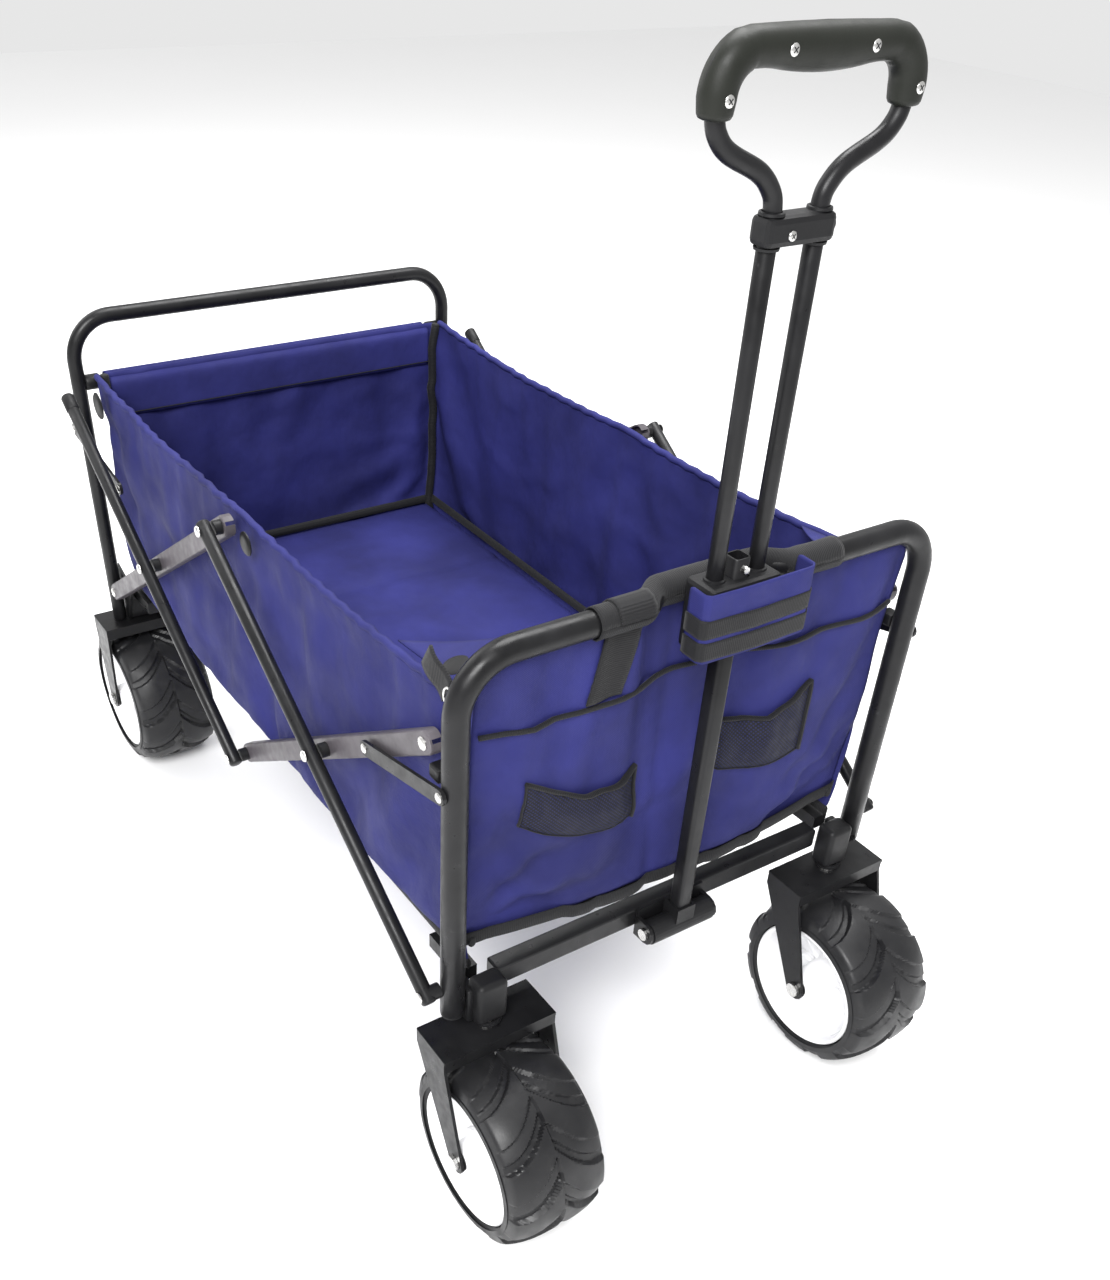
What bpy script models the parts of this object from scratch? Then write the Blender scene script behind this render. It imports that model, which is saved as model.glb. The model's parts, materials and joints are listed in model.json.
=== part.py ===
"""Folding utility wagon with a fabric basket, four wide wheels and a telescoping pull handle.

Axes: +X points forward to the pull handle, +Y to the wagon's left, +Z up. The origin is on
the ground under the middle of the whole wagon. All sizes are in metres.
"""

import math

import bmesh
import bpy
from mathutils import Matrix, Vector

# ---------------------------------------------------------------- driving dimensions
GAP = 0.0003                  # clearance between pieces that touch
LEG_SPREAD = 0.793            # between the planes of the two end frames
FRAME_WIDTH = 0.460           # between the leg centres of one end frame
FRAME_RISE = 0.3565           # centreline of the end frames' top bars above the forks
FRAME_BEND = 0.045            # bend radius of the top corners
FRONT_TUBE = 0.0103           # radius of the front frame's tube
REAR_TUBE = 0.0078            # radius of the rear frame's tube
JOG_DEPTH = 0.016             # how far the front top bar steps back for the handle
JOG_SLOPE = 0.030             # width over which it steps back
JOG_ROOM = 0.011              # stepped part beyond the handle block

WHEEL_RADIUS = 0.0886
TYRE_WIDTH = 0.099
TYRE_SHOULDER = ((0.0055, 0.006), (0.0018, 0.018), (0.0, 0.0375))  # below and inside
TYRE_WALL = ((0.0, 0.005), (0.0055, 0.0005), (0.0115, 0.0))  # above the rim and inside
RIM_RADIUS = 0.0652
RIM_INSET = 0.004             # rim's edge inside the tyre's side
RIM_THICK = 0.0038
RIM_WEB = (0.006, 0.011)      # half thickness of the web at the hub and at the rim
WEB_BLEND = 0.004
HUB_RADIUS = 0.015
HUB_CLEAR = 0.001
AXLE_RADIUS = 0.004
BORE_SLACK = 0.0004           # a bore's radius over that of the shaft in it

FORK_DEPTH = 0.047            # plate, front to back
FORK_SHEET = 0.003
FORK_SKIRT = 0.0135           # folded front and back edges of the plate
FORK_OVER_TYRE = 0.0208       # plate's top face above the tyre
FORK_BESIDE_TYRE = 0.0035
FORK_STEP = 0.0005            # steps between a fork's plate, skirts and arms
FORK_FOOT = 0.0115            # radius of an arm's foot
FOOT_OPEN = 10                # degrees by which the foot's arc stops short of a half turn
AXLE_HEAD = (0.0072, 0.0035)  # radius and thickness
FORK_INSET = 0.030            # a wheel's middle inside the legs' plane
KING_AHEAD = 0.008            # king pin ahead of the front legs
CASTER_TRAIL = 0.042          # front axle from the king pin
KING_RADIUS = 0.005
KING_FLANGE = 0.0095
KING_SHORT = 0.002            # top of the king pin's bore below the beam's top
SWIVEL_GAP = 0.0035           # between a caster bracket and its fork

BEAM_DEPTH = 0.018            # front axle beam, front to back
BEAM_RISE = (0.024, 0.044)    # its faces above the forks
BRACKET_X = (-0.016, 0.019)   # caster bracket, from the front legs' plane
BRACKET_RISE = 0.0515
BRACKET_CUT = 0.008           # its cut corners
BRACKET_INSET = 0.045         # inner face inside the legs' plane
CROSSBAR_DEPTH = 0.020        # rear crossbar
CROSSBAR_RISE = 0.0443
LEG_FOOT_RISE = 0.021         # lower end of the front legs above the forks
HEM_ROD_RADIUS = 0.006
HEM_ROD_DROP = 0.0675         # below the frame top, as all drops

PIVOT_RISE = 0.0475           # low scissor pivots above the forks
PIVOT_DROP = 0.063            # high scissor pivots
REAR_PIVOT_AHEAD = 0.0215     # rear low pivot ahead of the rear legs
FRONT_PIVOT_BEHIND = 0.0045   # front low pivot behind the front legs
FLAT_HEIGHT = 0.020
FLAT_SPREAD = (-0.002, 0.008)  # the flat bars' faces, from the legs' plane
FLAT_END_INSET = 0.030        # free end of the front flat bars, short of the full length
ROUND_RADIUS = 0.0065
ROUND_END_INSET = 0.012
ROUND_BESIDE_LINK = 0.0022
STUD_RADIUS = 0.003
STUD_HEAD = 0.0052
STUD_HEAD_THICK = 0.002
SPACER_RADIUS = 0.0065
BAR_OVERRUN = 0.001           # a bar's end beyond its last bore
LINK_THICK = 0.003
LINK_WIDTH = 0.013
LINK_FROM_CROSSING = 0.097    # where a link meets its bar, from the scissor crossing
REAR_LINK_DROP = 0.1160       # the links' pivots on the legs
FRONT_LINK_DROP = 0.1066
PLATE_THICK = 0.003
PLATE_NOSE = 0.012            # radius of the rear pivot plates' noses
PLATE_RISE = 0.022            # their top above the pivot
LEDGE_SIZE = (0.014, 0.012)   # front catch, front to back and height
LEDGE_BELOW = 0.0035          # its top below the flat bar
LEDGE_INWARD = 0.003
BESIDE_TUBE = 0.0005          # links and pivot plates from the leg they stand beside

PIN_RISE = 0.026              # handle pivot above the forks
EAR_NOSE = 0.0105
MOUNT_THICK = 0.003           # plate that carries the ears
PIN_HEAD = (0.0055, 0.0025)
SLEEVE_RADIUS = 0.0115
SLEEVE_HALF = 0.034
EAR_THICK = 0.0035
PIN_RADIUS = 0.003
LOWER_TUBE = 0.0155           # across the flats of the square lower tube
LOWER_WALL = 0.0015
TUBE_OVER_BLOCK = 0.015
COLLAR_ROOM = 0.0045          # collar's width over the lower tube
COLLAR_CLEAR = 0.00045        # between the collar or sleeve and the plate behind it
COLLAR_RISE = 0.022           # its top above the handle pivot
COLLAR_ROOT = 0.005           # where it starts above the pivot
SOCKET_FLOOR = 0.001
TUBE_ROUND = 0.001
BLOCK_SIDE = 0.014            # block's side from a rod's axis
BLOCK_DEPTH = 0.032
BLOCK_BEHIND = 0.0032         # between the block and the stepped bar
BLOCK_REACH = (-0.0425, 0.0155)  # its ends, from the frame top
BUTTON_RADIUS = 0.0035
BUTTON_OVER_BLOCK = 0.0075
BUTTON_PROUD = 0.004
BUTTON_ROOT = 0.002           # its inner end ahead of the tube's middle
BUTTON_TAPER = 0.0008
BUTTON_CUT = 0.003
ROD_RADIUS = 0.0064
ROD_BESIDE_TUBE = 0.01225     # a rod's axis from the lower tube's side
ROD_SHOWN = 0.2255            # rod between the block and the bridge
ROD_SEAT = 0.018              # depth of a rod in the block
BRIDGE_HEIGHT = 0.018
BRIDGE_SIDE = 0.0085          # bridge's side from a rod's axis
BRIDGE_DEPTH = 0.019
BRIDGE_SEAT = 0.007           # depth of the rods and the loop in the bridge
LOOP_RADIUS = 0.006
LOOP_HALF_WIDTH = 0.0755
LOOP_NECK = 0.0565            # from the bridge up to where the loop is widest
LOOP_CROWN = 0.031            # from there to its top
LOOP_CORNER = 0.024
LOOP_STRAIGHT = 0.006
LOOP_BEND = 0.018
LOOP_FLARE = 0.022
GRIP_RADIUS = 0.0118

BASKET_OVER_PIVOT = 0.001
BASKET_WALL = 0.004
BASKET_BESIDE_PLATE = 0.0022  # rim from the rear pivot plates
BASKET_LEAN = 0.0105          # how far each side leans in at its foot
BASKET_AHEAD = 0.0027         # rear wall from the rear tube
BASKET_BEHIND = 0.0017        # front wall from the stepped bar
BASKET_SIDE_DROP = 0.0495
BASKET_SIDE_DIP = 0.020       # how far the side rims hang at their middle
BASKET_FRONT_DROP = 0.0125
PAD_THICK = 0.020
PAD_CLEAR = 0.0015
PAD_ROUND = 0.003
SUPPORT_DROP = (0.018, 0.004)  # floor supports' faces below the basket
SUPPORT_WIDTH = 0.016
SUPPORT_REACH = 0.052
SUPPORT_INSET = 0.018

FLAP_OVERHANG = (-0.008, 0.033)  # the flap's sides beyond the block's
FLAP_REACH = (-0.0405, 0.0155)   # its edges, from the frame top
FLAP_THICK = 0.003
FLAP_AHEAD = 0.0017           # rear edge of its sides ahead of the front tube
FLAP_CLEAR = 0.0015           # between the handle block and the flap

CUT_PAST = 0.010              # how far a cutter runs beyond what it cuts
SINK = 0.002                  # how far a stud or a cutter starts inside a piece
BAR_ROUND = 0.002             # rounded edges of the steel bars
BLOCK_ROUND = 0.004           # rounded edges of the handle's mouldings
WHEEL_STEPS = 32
SMALL_STEPS = 12

# ---------------------------------------------------------------- derived places
LENGTH = LEG_SPREAD + 2 * WHEEL_RADIUS + KING_AHEAD + CASTER_TRAIL
REAR_X = WHEEL_RADIUS - LENGTH / 2
FRONT_X = REAR_X + LEG_SPREAD
LEG_Y = FRAME_WIDTH / 2
SIDES = {"right": -1, "left": 1}

FORK_TOP = 2 * WHEEL_RADIUS + FORK_OVER_TYRE
FORK_WIDTH = TYRE_WIDTH + 2 * (FORK_BESIDE_TYRE + FORK_SHEET)
FORK_SIDE_Y = LEG_Y - FORK_INSET
FRAME_TOP = FORK_TOP + FRAME_RISE
FRONT_LEG_FOOT = FORK_TOP + LEG_FOOT_RISE
BEAM_Z = tuple(FORK_TOP + rise for rise in BEAM_RISE)
BRACKET_TOP = FORK_TOP + BRACKET_RISE
BRACKET_BOTTOM = FORK_TOP + SWIVEL_GAP
BRACKET_INNER_Y = LEG_Y - BRACKET_INSET
CROSSBAR_TOP = FORK_TOP + CROSSBAR_RISE
HEM_ROD_Z = FRAME_TOP - HEM_ROD_DROP
KING_X = FRONT_X + KING_AHEAD
FRONT_AXLE_X = KING_X + CASTER_TRAIL

PIVOT_Z = FORK_TOP + PIVOT_RISE
PIVOT_TOP = FRAME_TOP - PIVOT_DROP
STAGE_RISE = PIVOT_TOP - PIVOT_Z
REAR_PIVOT_X = REAR_X + REAR_PIVOT_AHEAD
FRONT_PIVOT_X = FRONT_X - FRONT_PIVOT_BEHIND
STAGE_SPAN = (FRONT_PIVOT_X - REAR_PIVOT_X) / 2
MID_X = REAR_PIVOT_X + STAGE_SPAN
BAR_LENGTH = math.hypot(STAGE_SPAN, STAGE_RISE)
LOW_REAR = (REAR_PIVOT_X, PIVOT_Z)
LOW_FRONT = (FRONT_PIVOT_X, PIVOT_Z)
MID_HIGH = (MID_X, PIVOT_TOP)
MID_LOW = (MID_X, PIVOT_Z)
REAR_CROSSING = (REAR_PIVOT_X + STAGE_SPAN / 2, PIVOT_Z + STAGE_RISE / 2)
FRONT_CROSSING = (MID_X + STAGE_SPAN / 2, PIVOT_Z + STAGE_RISE / 2)
REAR_LINK_TOP = FRAME_TOP - REAR_LINK_DROP
FRONT_LINK_TOP = FRAME_TOP - FRONT_LINK_DROP
FLAT_PLANE = tuple(LEG_Y + face for face in FLAT_SPREAD)
LINK_PLANE = (LEG_Y + FRONT_TUBE + BESIDE_TUBE, LEG_Y + FRONT_TUBE + BESIDE_TUBE + LINK_THICK)
ROUND_Y = LINK_PLANE[1] + ROUND_BESIDE_LINK + ROUND_RADIUS
PLATE_PLANE = (LEG_Y - REAR_TUBE - BESIDE_TUBE - PLATE_THICK, LEG_Y - REAR_TUBE - BESIDE_TUBE)

ROD_Y = LOWER_TUBE / 2 + ROD_BESIDE_TUBE
BLOCK_HALF_WIDTH = ROD_Y + BLOCK_SIDE
BRIDGE_HALF_WIDTH = ROD_Y + BRIDGE_SIDE
JOG_INNER = BLOCK_HALF_WIDTH + JOG_ROOM
JOG_OUTER = JOG_INNER + JOG_SLOPE
HANDLE_AHEAD = FRONT_TUBE - JOG_DEPTH + BLOCK_BEHIND + BLOCK_DEPTH / 2
HANDLE_X = FRONT_X + HANDLE_AHEAD
HANDLE_PIVOT_Z = FORK_TOP + PIN_RISE
COLLAR_WIDTH = LOWER_TUBE + COLLAR_ROOM
COLLAR_TOP = HANDLE_PIVOT_Z + COLLAR_RISE
MOUNT_FRONT = HANDLE_X - max(COLLAR_WIDTH / 2, SLEEVE_RADIUS) - COLLAR_CLEAR
BEAM_X = MOUNT_FRONT - MOUNT_THICK - GAP - BEAM_DEPTH / 2
BLOCK_Z = tuple(FRAME_TOP + end for end in BLOCK_REACH)
LOWER_TUBE_TOP = BLOCK_Z[1] + TUBE_OVER_BLOCK
BUTTON_Z = BLOCK_Z[1] + BUTTON_OVER_BLOCK
BRIDGE_Z = (BLOCK_Z[1] + ROD_SHOWN, BLOCK_Z[1] + ROD_SHOWN + BRIDGE_HEIGHT)
LOOP_SHOULDER = BRIDGE_Z[1] + LOOP_NECK
LOOP_TOP = LOOP_SHOULDER + LOOP_CROWN

BASKET_BOTTOM = PIVOT_Z + BASKET_OVER_PIVOT
BASKET_TOP_Y = PLATE_PLANE[0] - BASKET_BESIDE_PLATE
BASKET_BOTTOM_Y = BASKET_TOP_Y - BASKET_LEAN
BASKET_REAR_GAP = REAR_TUBE + BASKET_AHEAD
BASKET_FRONT_GAP = JOG_DEPTH + FRONT_TUBE + BASKET_BEHIND
BASKET_SIDE_TOP = FRAME_TOP - BASKET_SIDE_DROP
BASKET_FRONT_TOP = FRAME_TOP - BASKET_FRONT_DROP
SUPPORT_Z = tuple(BASKET_BOTTOM - drop for drop in SUPPORT_DROP)
SUPPORT_HALF = LEG_Y - SUPPORT_INSET
FLAP_Y = (-BLOCK_HALF_WIDTH + FLAP_OVERHANG[0], BLOCK_HALF_WIDTH + FLAP_OVERHANG[1])
FLAP_Z = tuple(FRAME_TOP + edge for edge in FLAP_REACH)
FLAP_BACK = FRONT_TUBE + FLAP_AHEAD

parts = None
cutters = None


# ---------------------------------------------------------------- scene and materials
def clear_scene():
    """Remove whatever the file holds, and make the two collections."""
    global parts, cutters
    for thing in list(bpy.data.objects):
        bpy.data.objects.remove(thing, do_unlink=True)
    parts = bpy.data.collections.new("folding_wagon")
    cutters = bpy.data.collections.new("wagon_cutters")
    bpy.context.scene.collection.children.link(parts)
    bpy.context.scene.collection.children.link(cutters)


FINISHES = {
    "black_paint": ((0.022, 0.022, 0.024), 0.38, 0.6),
    "grey_steel": ((0.17, 0.165, 0.175), 0.42, 0.7),
    "bright_steel": ((0.62, 0.62, 0.60), 0.28, 1.0),
    "black_plastic": ((0.018, 0.018, 0.020), 0.50, 0.0),
    "rubber": ((0.025, 0.025, 0.027), 0.75, 0.0),
    "white_plastic": ((0.82, 0.82, 0.83), 0.35, 0.0),
    "blue_fabric": ((0.045, 0.050, 0.260), 0.85, 0.0),
}


def give_material(thing, finish):
    """Give one object a material of its own in a named finish."""
    colour, roughness, metallic = FINISHES[finish]
    made = bpy.data.materials.new(thing.name + "_" + finish)
    made.use_nodes = True
    shader = made.node_tree.nodes["Principled BSDF"]
    shader.inputs["Base Color"].default_value = (*colour, 1.0)
    shader.inputs["Roughness"].default_value = roughness
    shader.inputs["Metallic"].default_value = metallic
    thing.data.materials.append(made)


# ---------------------------------------------------------------- shapes
def new_object(name, data, collection=None):
    thing = bpy.data.objects.new(name, data)
    (collection or parts).objects.link(thing)
    return thing


def mesh_object(name, shape, collection=None):
    """An object from a bmesh, which is freed."""
    data = bpy.data.meshes.new(name)
    shape.to_mesh(data)
    shape.free()
    return new_object(name, data, collection)


def box(name, low, high, bevel=0.0, collection=None):
    """A box between two corners, with its edges rounded when bevel is given."""
    low, high = Vector(low), Vector(high)
    shape = bmesh.new()
    bmesh.ops.create_cube(shape, size=1.0)
    bmesh.ops.scale(shape, vec=high - low, verts=shape.verts)
    bmesh.ops.translate(shape, vec=(low + high) / 2, verts=shape.verts)
    made = mesh_object(name, shape, collection)
    if bevel:
        rounding = made.modifiers.new("rounding", "BEVEL")
        rounding.width = bevel
        rounding.segments = 2
    return made


def cylinders(name, rods, steps=SMALL_STEPS):
    """One cutter made of cylinders, each given by its two ends and its radius."""
    shape = bmesh.new()
    for start, end, radius in rods:
        start, end = Vector(start), Vector(end)
        turn = (end - start).to_track_quat("Z", "Y").to_matrix().to_4x4()
        place = Matrix.Translation((start + end) / 2) @ turn
        bmesh.ops.create_cone(
            shape, cap_ends=True, segments=steps, radius1=radius, radius2=radius,
            depth=(end - start).length, matrix=place,
        )
    return as_cutter(mesh_object(name, shape, cutters))


def as_cutter(thing):
    thing.hide_render = True
    thing.display_type = "WIRE"
    return thing


def boolean(thing, other, operation):
    """Join or cut with another closed mesh, by the exact solver."""
    step = thing.modifiers.new(operation.lower(), "BOOLEAN")
    step.operation = operation
    step.solver = "EXACT"
    step.object = other


def turned(name, profile, centre, axis="Y", steps=WHEEL_STEPS, closed=False):
    """A solid turned from (radius, height) points that run down its outer side.

    The radii are those of the flats, so a wheel stands on a flat facet.
    """
    half = math.tan(math.pi / steps)
    shape = bmesh.new()
    points = [shape.verts.new((r, r * half, h)) for r, h in profile]
    for a, b in zip(points, points[1:]):
        shape.edges.new((a, b))
    if closed:
        shape.edges.new((points[-1], points[0]))
    made = mesh_object(name, shape)
    screw = made.modifiers.new("turning", "SCREW")
    screw.axis = "Z"
    screw.angle = 2 * math.pi
    screw.steps = steps
    screw.render_steps = steps
    screw.use_merge_vertices = True
    screw.merge_threshold = 0.00001
    made.location = centre
    if axis == "Y":
        made.rotation_euler = (-math.pi / 2, 0, 0)
    return made


def path_curve(name, points, radius, sides=3, radii=None, collection=None):
    """A tube along points, with closed ends."""
    data = bpy.data.curves.new(name, "CURVE")
    data.dimensions = "3D"
    data.bevel_depth = radius
    data.bevel_resolution = sides
    data.use_fill_caps = True
    run = data.splines.new("POLY")
    run.points.add(len(points) - 1)
    for n, point in enumerate(points):
        run.points[n].co = (*point, 1.0)
        run.points[n].radius = radii[n] if radii else 1.0
    return new_object(name, data, collection)


def to_mesh(curve):
    """Turn a curve object into a closed mesh object of the same name."""
    bpy.context.view_layer.update()
    held = curve.evaluated_get(bpy.context.evaluated_depsgraph_get())
    data = bpy.data.meshes.new_from_object(held)
    shape = bmesh.new()
    shape.from_mesh(data)
    bmesh.ops.remove_doubles(shape, verts=shape.verts, dist=0.00001)
    shape.to_mesh(data)
    shape.free()
    name = curve.name
    place = curve.matrix_world.copy()
    collection = curve.users_collection[0]
    bpy.data.objects.remove(curve, do_unlink=True)
    made = new_object(name, data, collection)
    made.matrix_world = place
    return made


PLANES = {
    # in-plane axes u and v, then the direction of the extrusion
    "XZ": Matrix(((1, 0, 0), (0, 0, -1), (0, 1, 0))),
    "YZ": Matrix(((0, 0, 1), (1, 0, 0), (0, 1, 0))),
    "XY": Matrix.Identity(3),
}


def outline(name, points, plane, middle, thickness, collection=None):
    """A flat plate: an outline in a plane, thickened about its middle."""
    data = bpy.data.curves.new(name, "CURVE")
    data.dimensions = "2D"
    data.fill_mode = "BOTH"
    data.extrude = thickness / 2
    run = data.splines.new("POLY")
    run.points.add(len(points) - 1)
    for n, (u, v) in enumerate(points):
        run.points[n].co = (u, v, 0.0, 1.0)
    run.use_cyclic_u = True
    made = new_object(name, data, collection)
    turn = PLANES[plane]
    made.matrix_world = Matrix.Translation(turn @ Vector((0, 0, middle))) @ turn.to_4x4()
    return to_mesh(made)


def arc(centre, radius, start, end, steps):
    """Points on an arc, angles in degrees."""
    found = []
    for n in range(steps + 1):
        angle = math.radians(start + (end - start) * n / steps)
        found.append((centre[0] + radius * math.cos(angle),
                      centre[1] + radius * math.sin(angle)))
    return found


def bar_outline(start, end, height, steps=6):
    """A straight bar with round ends about two points."""
    angle = math.degrees(math.atan2(end[1] - start[1], end[0] - start[0]))
    tip = arc(end, height / 2, angle - 90, angle + 90, steps)
    tail = arc(start, height / 2, angle + 90, angle + 270, steps)
    return tip + tail


def toward(start, end, distance):
    """The point at a distance from start on the way to end."""
    step = (Vector(end) - Vector(start)).normalized() * distance
    return tuple(Vector(start) + step)


# ---------------------------------------------------------------- joints and parenting
def joint(name, place, parent=None):
    """An empty on a joint's axis."""
    made = bpy.data.objects.new(name, None)
    made.empty_display_size = 0.03
    parts.objects.link(made)
    made["place"] = place
    made.location = Vector(place) - Vector(parent["place"] if parent else (0, 0, 0))
    made.parent = parent
    return made


def hang(thing, parent):
    """Parent a piece to a joint's empty and leave it where it is."""
    thing.parent = parent
    thing.location = Vector(thing.location) - Vector(parent["place"])
    return thing


def finish_piece(thing, finish, parent=None, smooth=True):
    give_material(thing, finish)
    if smooth and thing.type == "MESH" and thing.data.polygons:
        thing.data.shade_smooth()
        thing.data.set_sharp_from_angle(angle=math.radians(40))
    if parent:
        hang(thing, parent)
    return thing


# ---------------------------------------------------------------- end frames
def frame_path(x, foot, jog):
    """Centreline of an end frame, up one leg, over the top bar and down the other."""
    corner_y = LEG_Y - FRAME_BEND
    corner_z = FRAME_TOP - FRAME_BEND
    half = [(x, -LEG_Y, foot)]
    half += [(x, y, z) for y, z in arc((-corner_y, corner_z), FRAME_BEND, 180, 90, 6)]
    if jog:
        for n in range(5):
            share = n / 4
            y = -JOG_OUTER + (JOG_OUTER - JOG_INNER) * share
            half.append((x - jog * (1 - math.cos(math.pi * share)) / 2, y, FRAME_TOP))
    return half + [(px, -y, z) for px, y, z in reversed(half)]


def rear_frame():
    """Rear U-shaped tube, crossbar, hem rod, pivot plates and floor support."""
    foot = FORK_TOP + 2 * GAP
    tube = path_curve("rear_frame_tube", frame_path(REAR_X, foot, 0.0), REAR_TUBE)
    tube = to_mesh(tube)
    link_holes = [((REAR_X, s * (LEG_Y - SINK), REAR_LINK_TOP),
                   (REAR_X, s * (LEG_Y + 2 * CUT_PAST), REAR_LINK_TOP),
                   STUD_RADIUS + BORE_SLACK) for s in SIDES.values()]
    boolean(tube, cylinders("rear_link_bores", link_holes), "DIFFERENCE")
    finish_piece(tube, "black_paint")

    inner = PLATE_PLANE[0] - GAP
    half = CROSSBAR_DEPTH / 2
    bar = box("rear_crossbar", (REAR_X - half, -inner, foot), (REAR_X + half, inner, CROSSBAR_TOP),
              bevel=BAR_ROUND)
    finish_piece(bar, "black_paint")

    reach = LEG_Y - REAR_TUBE - GAP
    rod = path_curve("rear_hem_rod", [(REAR_X, -reach, HEM_ROD_Z), (REAR_X, reach, HEM_ROD_Z)],
                     HEM_ROD_RADIUS)
    finish_piece(to_mesh(rod), "black_paint")

    for side, sign in SIDES.items():
        rear_pivot_plate(side, sign, foot)
    floor_support("rear_floor_support", REAR_X + half + GAP, 1)


def rear_pivot_plate(side, sign, foot):
    """Plate between leg and crossbar that carries the rear low pivot."""
    back = REAR_X - REAR_TUBE + SINK
    nose = arc(LOW_REAR, PLATE_NOSE, -60, 90, 5)
    points = [(back, foot), (REAR_X + CROSSBAR_DEPTH / 2, foot)] + nose
    points.append((back, PIVOT_Z + PLATE_RISE))
    middle = -sign * sum(PLATE_PLANE) / 2
    plate = outline("rear_pivot_plate_" + side, points, "XZ", middle,
                    PLATE_PLANE[1] - PLATE_PLANE[0])
    bore = cylinders("rear_pivot_bore_" + side,
                     [((LOW_REAR[0], sign * (PLATE_PLANE[0] - CUT_PAST), LOW_REAR[1]),
                       (LOW_REAR[0], sign * (PLATE_PLANE[1] + CUT_PAST), LOW_REAR[1]),
                       STUD_RADIUS + BORE_SLACK)])
    boolean(plate, bore, "DIFFERENCE")
    finish_piece(plate, "black_paint")


def floor_support(name, start_x, direction, parent=None):
    """U-shaped bar under the basket's floor, from an end beam inwards."""
    far = start_x + direction * SUPPORT_REACH
    near_edge = far - direction * SUPPORT_WIDTH
    inner = SUPPORT_HALF - SUPPORT_WIDTH
    points = [(start_x, -SUPPORT_HALF), (far, -SUPPORT_HALF), (far, SUPPORT_HALF),
              (start_x, SUPPORT_HALF), (start_x, inner), (near_edge, inner),
              (near_edge, -inner), (start_x, -inner)]
    low, high = SUPPORT_Z
    bar = outline(name, points, "XY", (low + high) / 2, high - low)
    finish_piece(bar, "black_paint", parent, smooth=False)


def front_frame(parent):
    """Front U-shaped tube, axle beam, caster brackets, catches and floor support."""
    tube = path_curve("front_frame_tube", frame_path(FRONT_X, FRONT_LEG_FOOT, JOG_DEPTH),
                      FRONT_TUBE)
    tube = to_mesh(tube)
    bores = []
    for s in SIDES.values():
        for x, z in ((FRONT_X, FRONT_LINK_TOP), LOW_FRONT):
            bores.append(((x, s * (LEG_Y - SINK), z), (x, s * (LEG_Y + 2 * CUT_PAST), z),
                          STUD_RADIUS + BORE_SLACK))
    boolean(tube, cylinders("front_leg_bores", bores), "DIFFERENCE")
    finish_piece(tube, "black_paint", parent)

    reach = BRACKET_INNER_Y - GAP
    half = BEAM_DEPTH / 2
    beam = box("front_axle_beam", (BEAM_X - half, -reach, BEAM_Z[0]),
               (BEAM_X + half, reach, BEAM_Z[1]), bevel=BAR_ROUND)
    finish_piece(beam, "black_paint", parent)

    for side, sign in SIDES.items():
        caster_bracket(side, sign, parent)
        front_catch(side, sign, parent)
    floor_support("front_floor_support", FRONT_X + BRACKET_X[0] - GAP, -1, parent)


def caster_bracket(side, sign, parent):
    """Block between leg and axle beam with the bore for the king pin."""
    inner, outer = BRACKET_INNER_Y, LEG_Y - FRONT_TUBE - GAP
    cut = BRACKET_CUT
    points = [(inner, BRACKET_BOTTOM), (outer, BRACKET_BOTTOM), (outer, BRACKET_TOP - cut),
              (outer - cut, BRACKET_TOP), (inner + cut, BRACKET_TOP), (inner, BRACKET_TOP - cut)]
    if sign < 0:
        points = [(-y, z) for y, z in reversed(points)]
    back, front = FRONT_X + BRACKET_X[0], FRONT_X + BRACKET_X[1]
    block = outline("caster_bracket_" + side, points, "YZ", (back + front) / 2, front - back)
    bore = cylinders("king_bore_" + side,
                     [((KING_X, sign * FORK_SIDE_Y, BRACKET_BOTTOM - CUT_PAST),
                       (KING_X, sign * FORK_SIDE_Y, BEAM_Z[1] - KING_SHORT),
                       KING_RADIUS + BORE_SLACK)], steps=16)
    boolean(block, bore, "DIFFERENCE")
    finish_piece(block, "black_plastic", parent, smooth=False)


def front_catch(side, sign, parent):
    """Plastic ledge on the back of the front leg under the free end of the flat bar."""
    tip = toward(MID_LOW, (FRONT_PIVOT_X, PIVOT_TOP), BAR_LENGTH - FLAT_END_INSET)
    top = tip[1] - FLAT_HEIGHT / 2 - LEDGE_BELOW
    front = FRONT_X - FRONT_TUBE - GAP
    back = front - LEDGE_SIZE[0]
    y0, y1 = sorted((sign * (FLAT_PLANE[0] - LEDGE_INWARD), sign * FLAT_PLANE[1]))
    ledge = box("front_catch_" + side, (back, y0, top - LEDGE_SIZE[1]), (front, y1, top),
                bevel=BAR_ROUND)
    finish_piece(ledge, "black_plastic", parent)


# ---------------------------------------------------------------- scissor sides
def flat_bar(name, start, end, sign, studs):
    """Flat bar between two points, with a stud outwards at each point of studs."""
    middle = -sign * sum(FLAT_PLANE) / 2
    bar = outline(name, bar_outline(start, end, FLAT_HEIGHT), "XZ", middle,
                  FLAT_PLANE[1] - FLAT_PLANE[0])
    inner_face = ROUND_Y - ROUND_RADIUS - GAP
    outer_face = ROUND_Y + ROUND_RADIUS + GAP
    rods, heads, spacers = [], [], []
    for x, z in studs:
        rods.append(((x, sign * (FLAT_PLANE[1] - SINK), z),
                     (x, sign * (outer_face + STUD_HEAD_THICK / 2), z), STUD_RADIUS))
        spacers.append(((x, sign * (FLAT_PLANE[1] - SINK), z), (x, sign * inner_face, z),
                        SPACER_RADIUS))
        heads.append(((x, sign * outer_face, z),
                      (x, sign * (outer_face + STUD_HEAD_THICK), z), STUD_HEAD))
    boolean(bar, cylinders(name + "_spacers", spacers), "UNION")
    boolean(bar, cylinders(name + "_studs", rods), "UNION")
    boolean(bar, cylinders(name + "_heads", heads), "UNION")
    return bar


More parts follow.
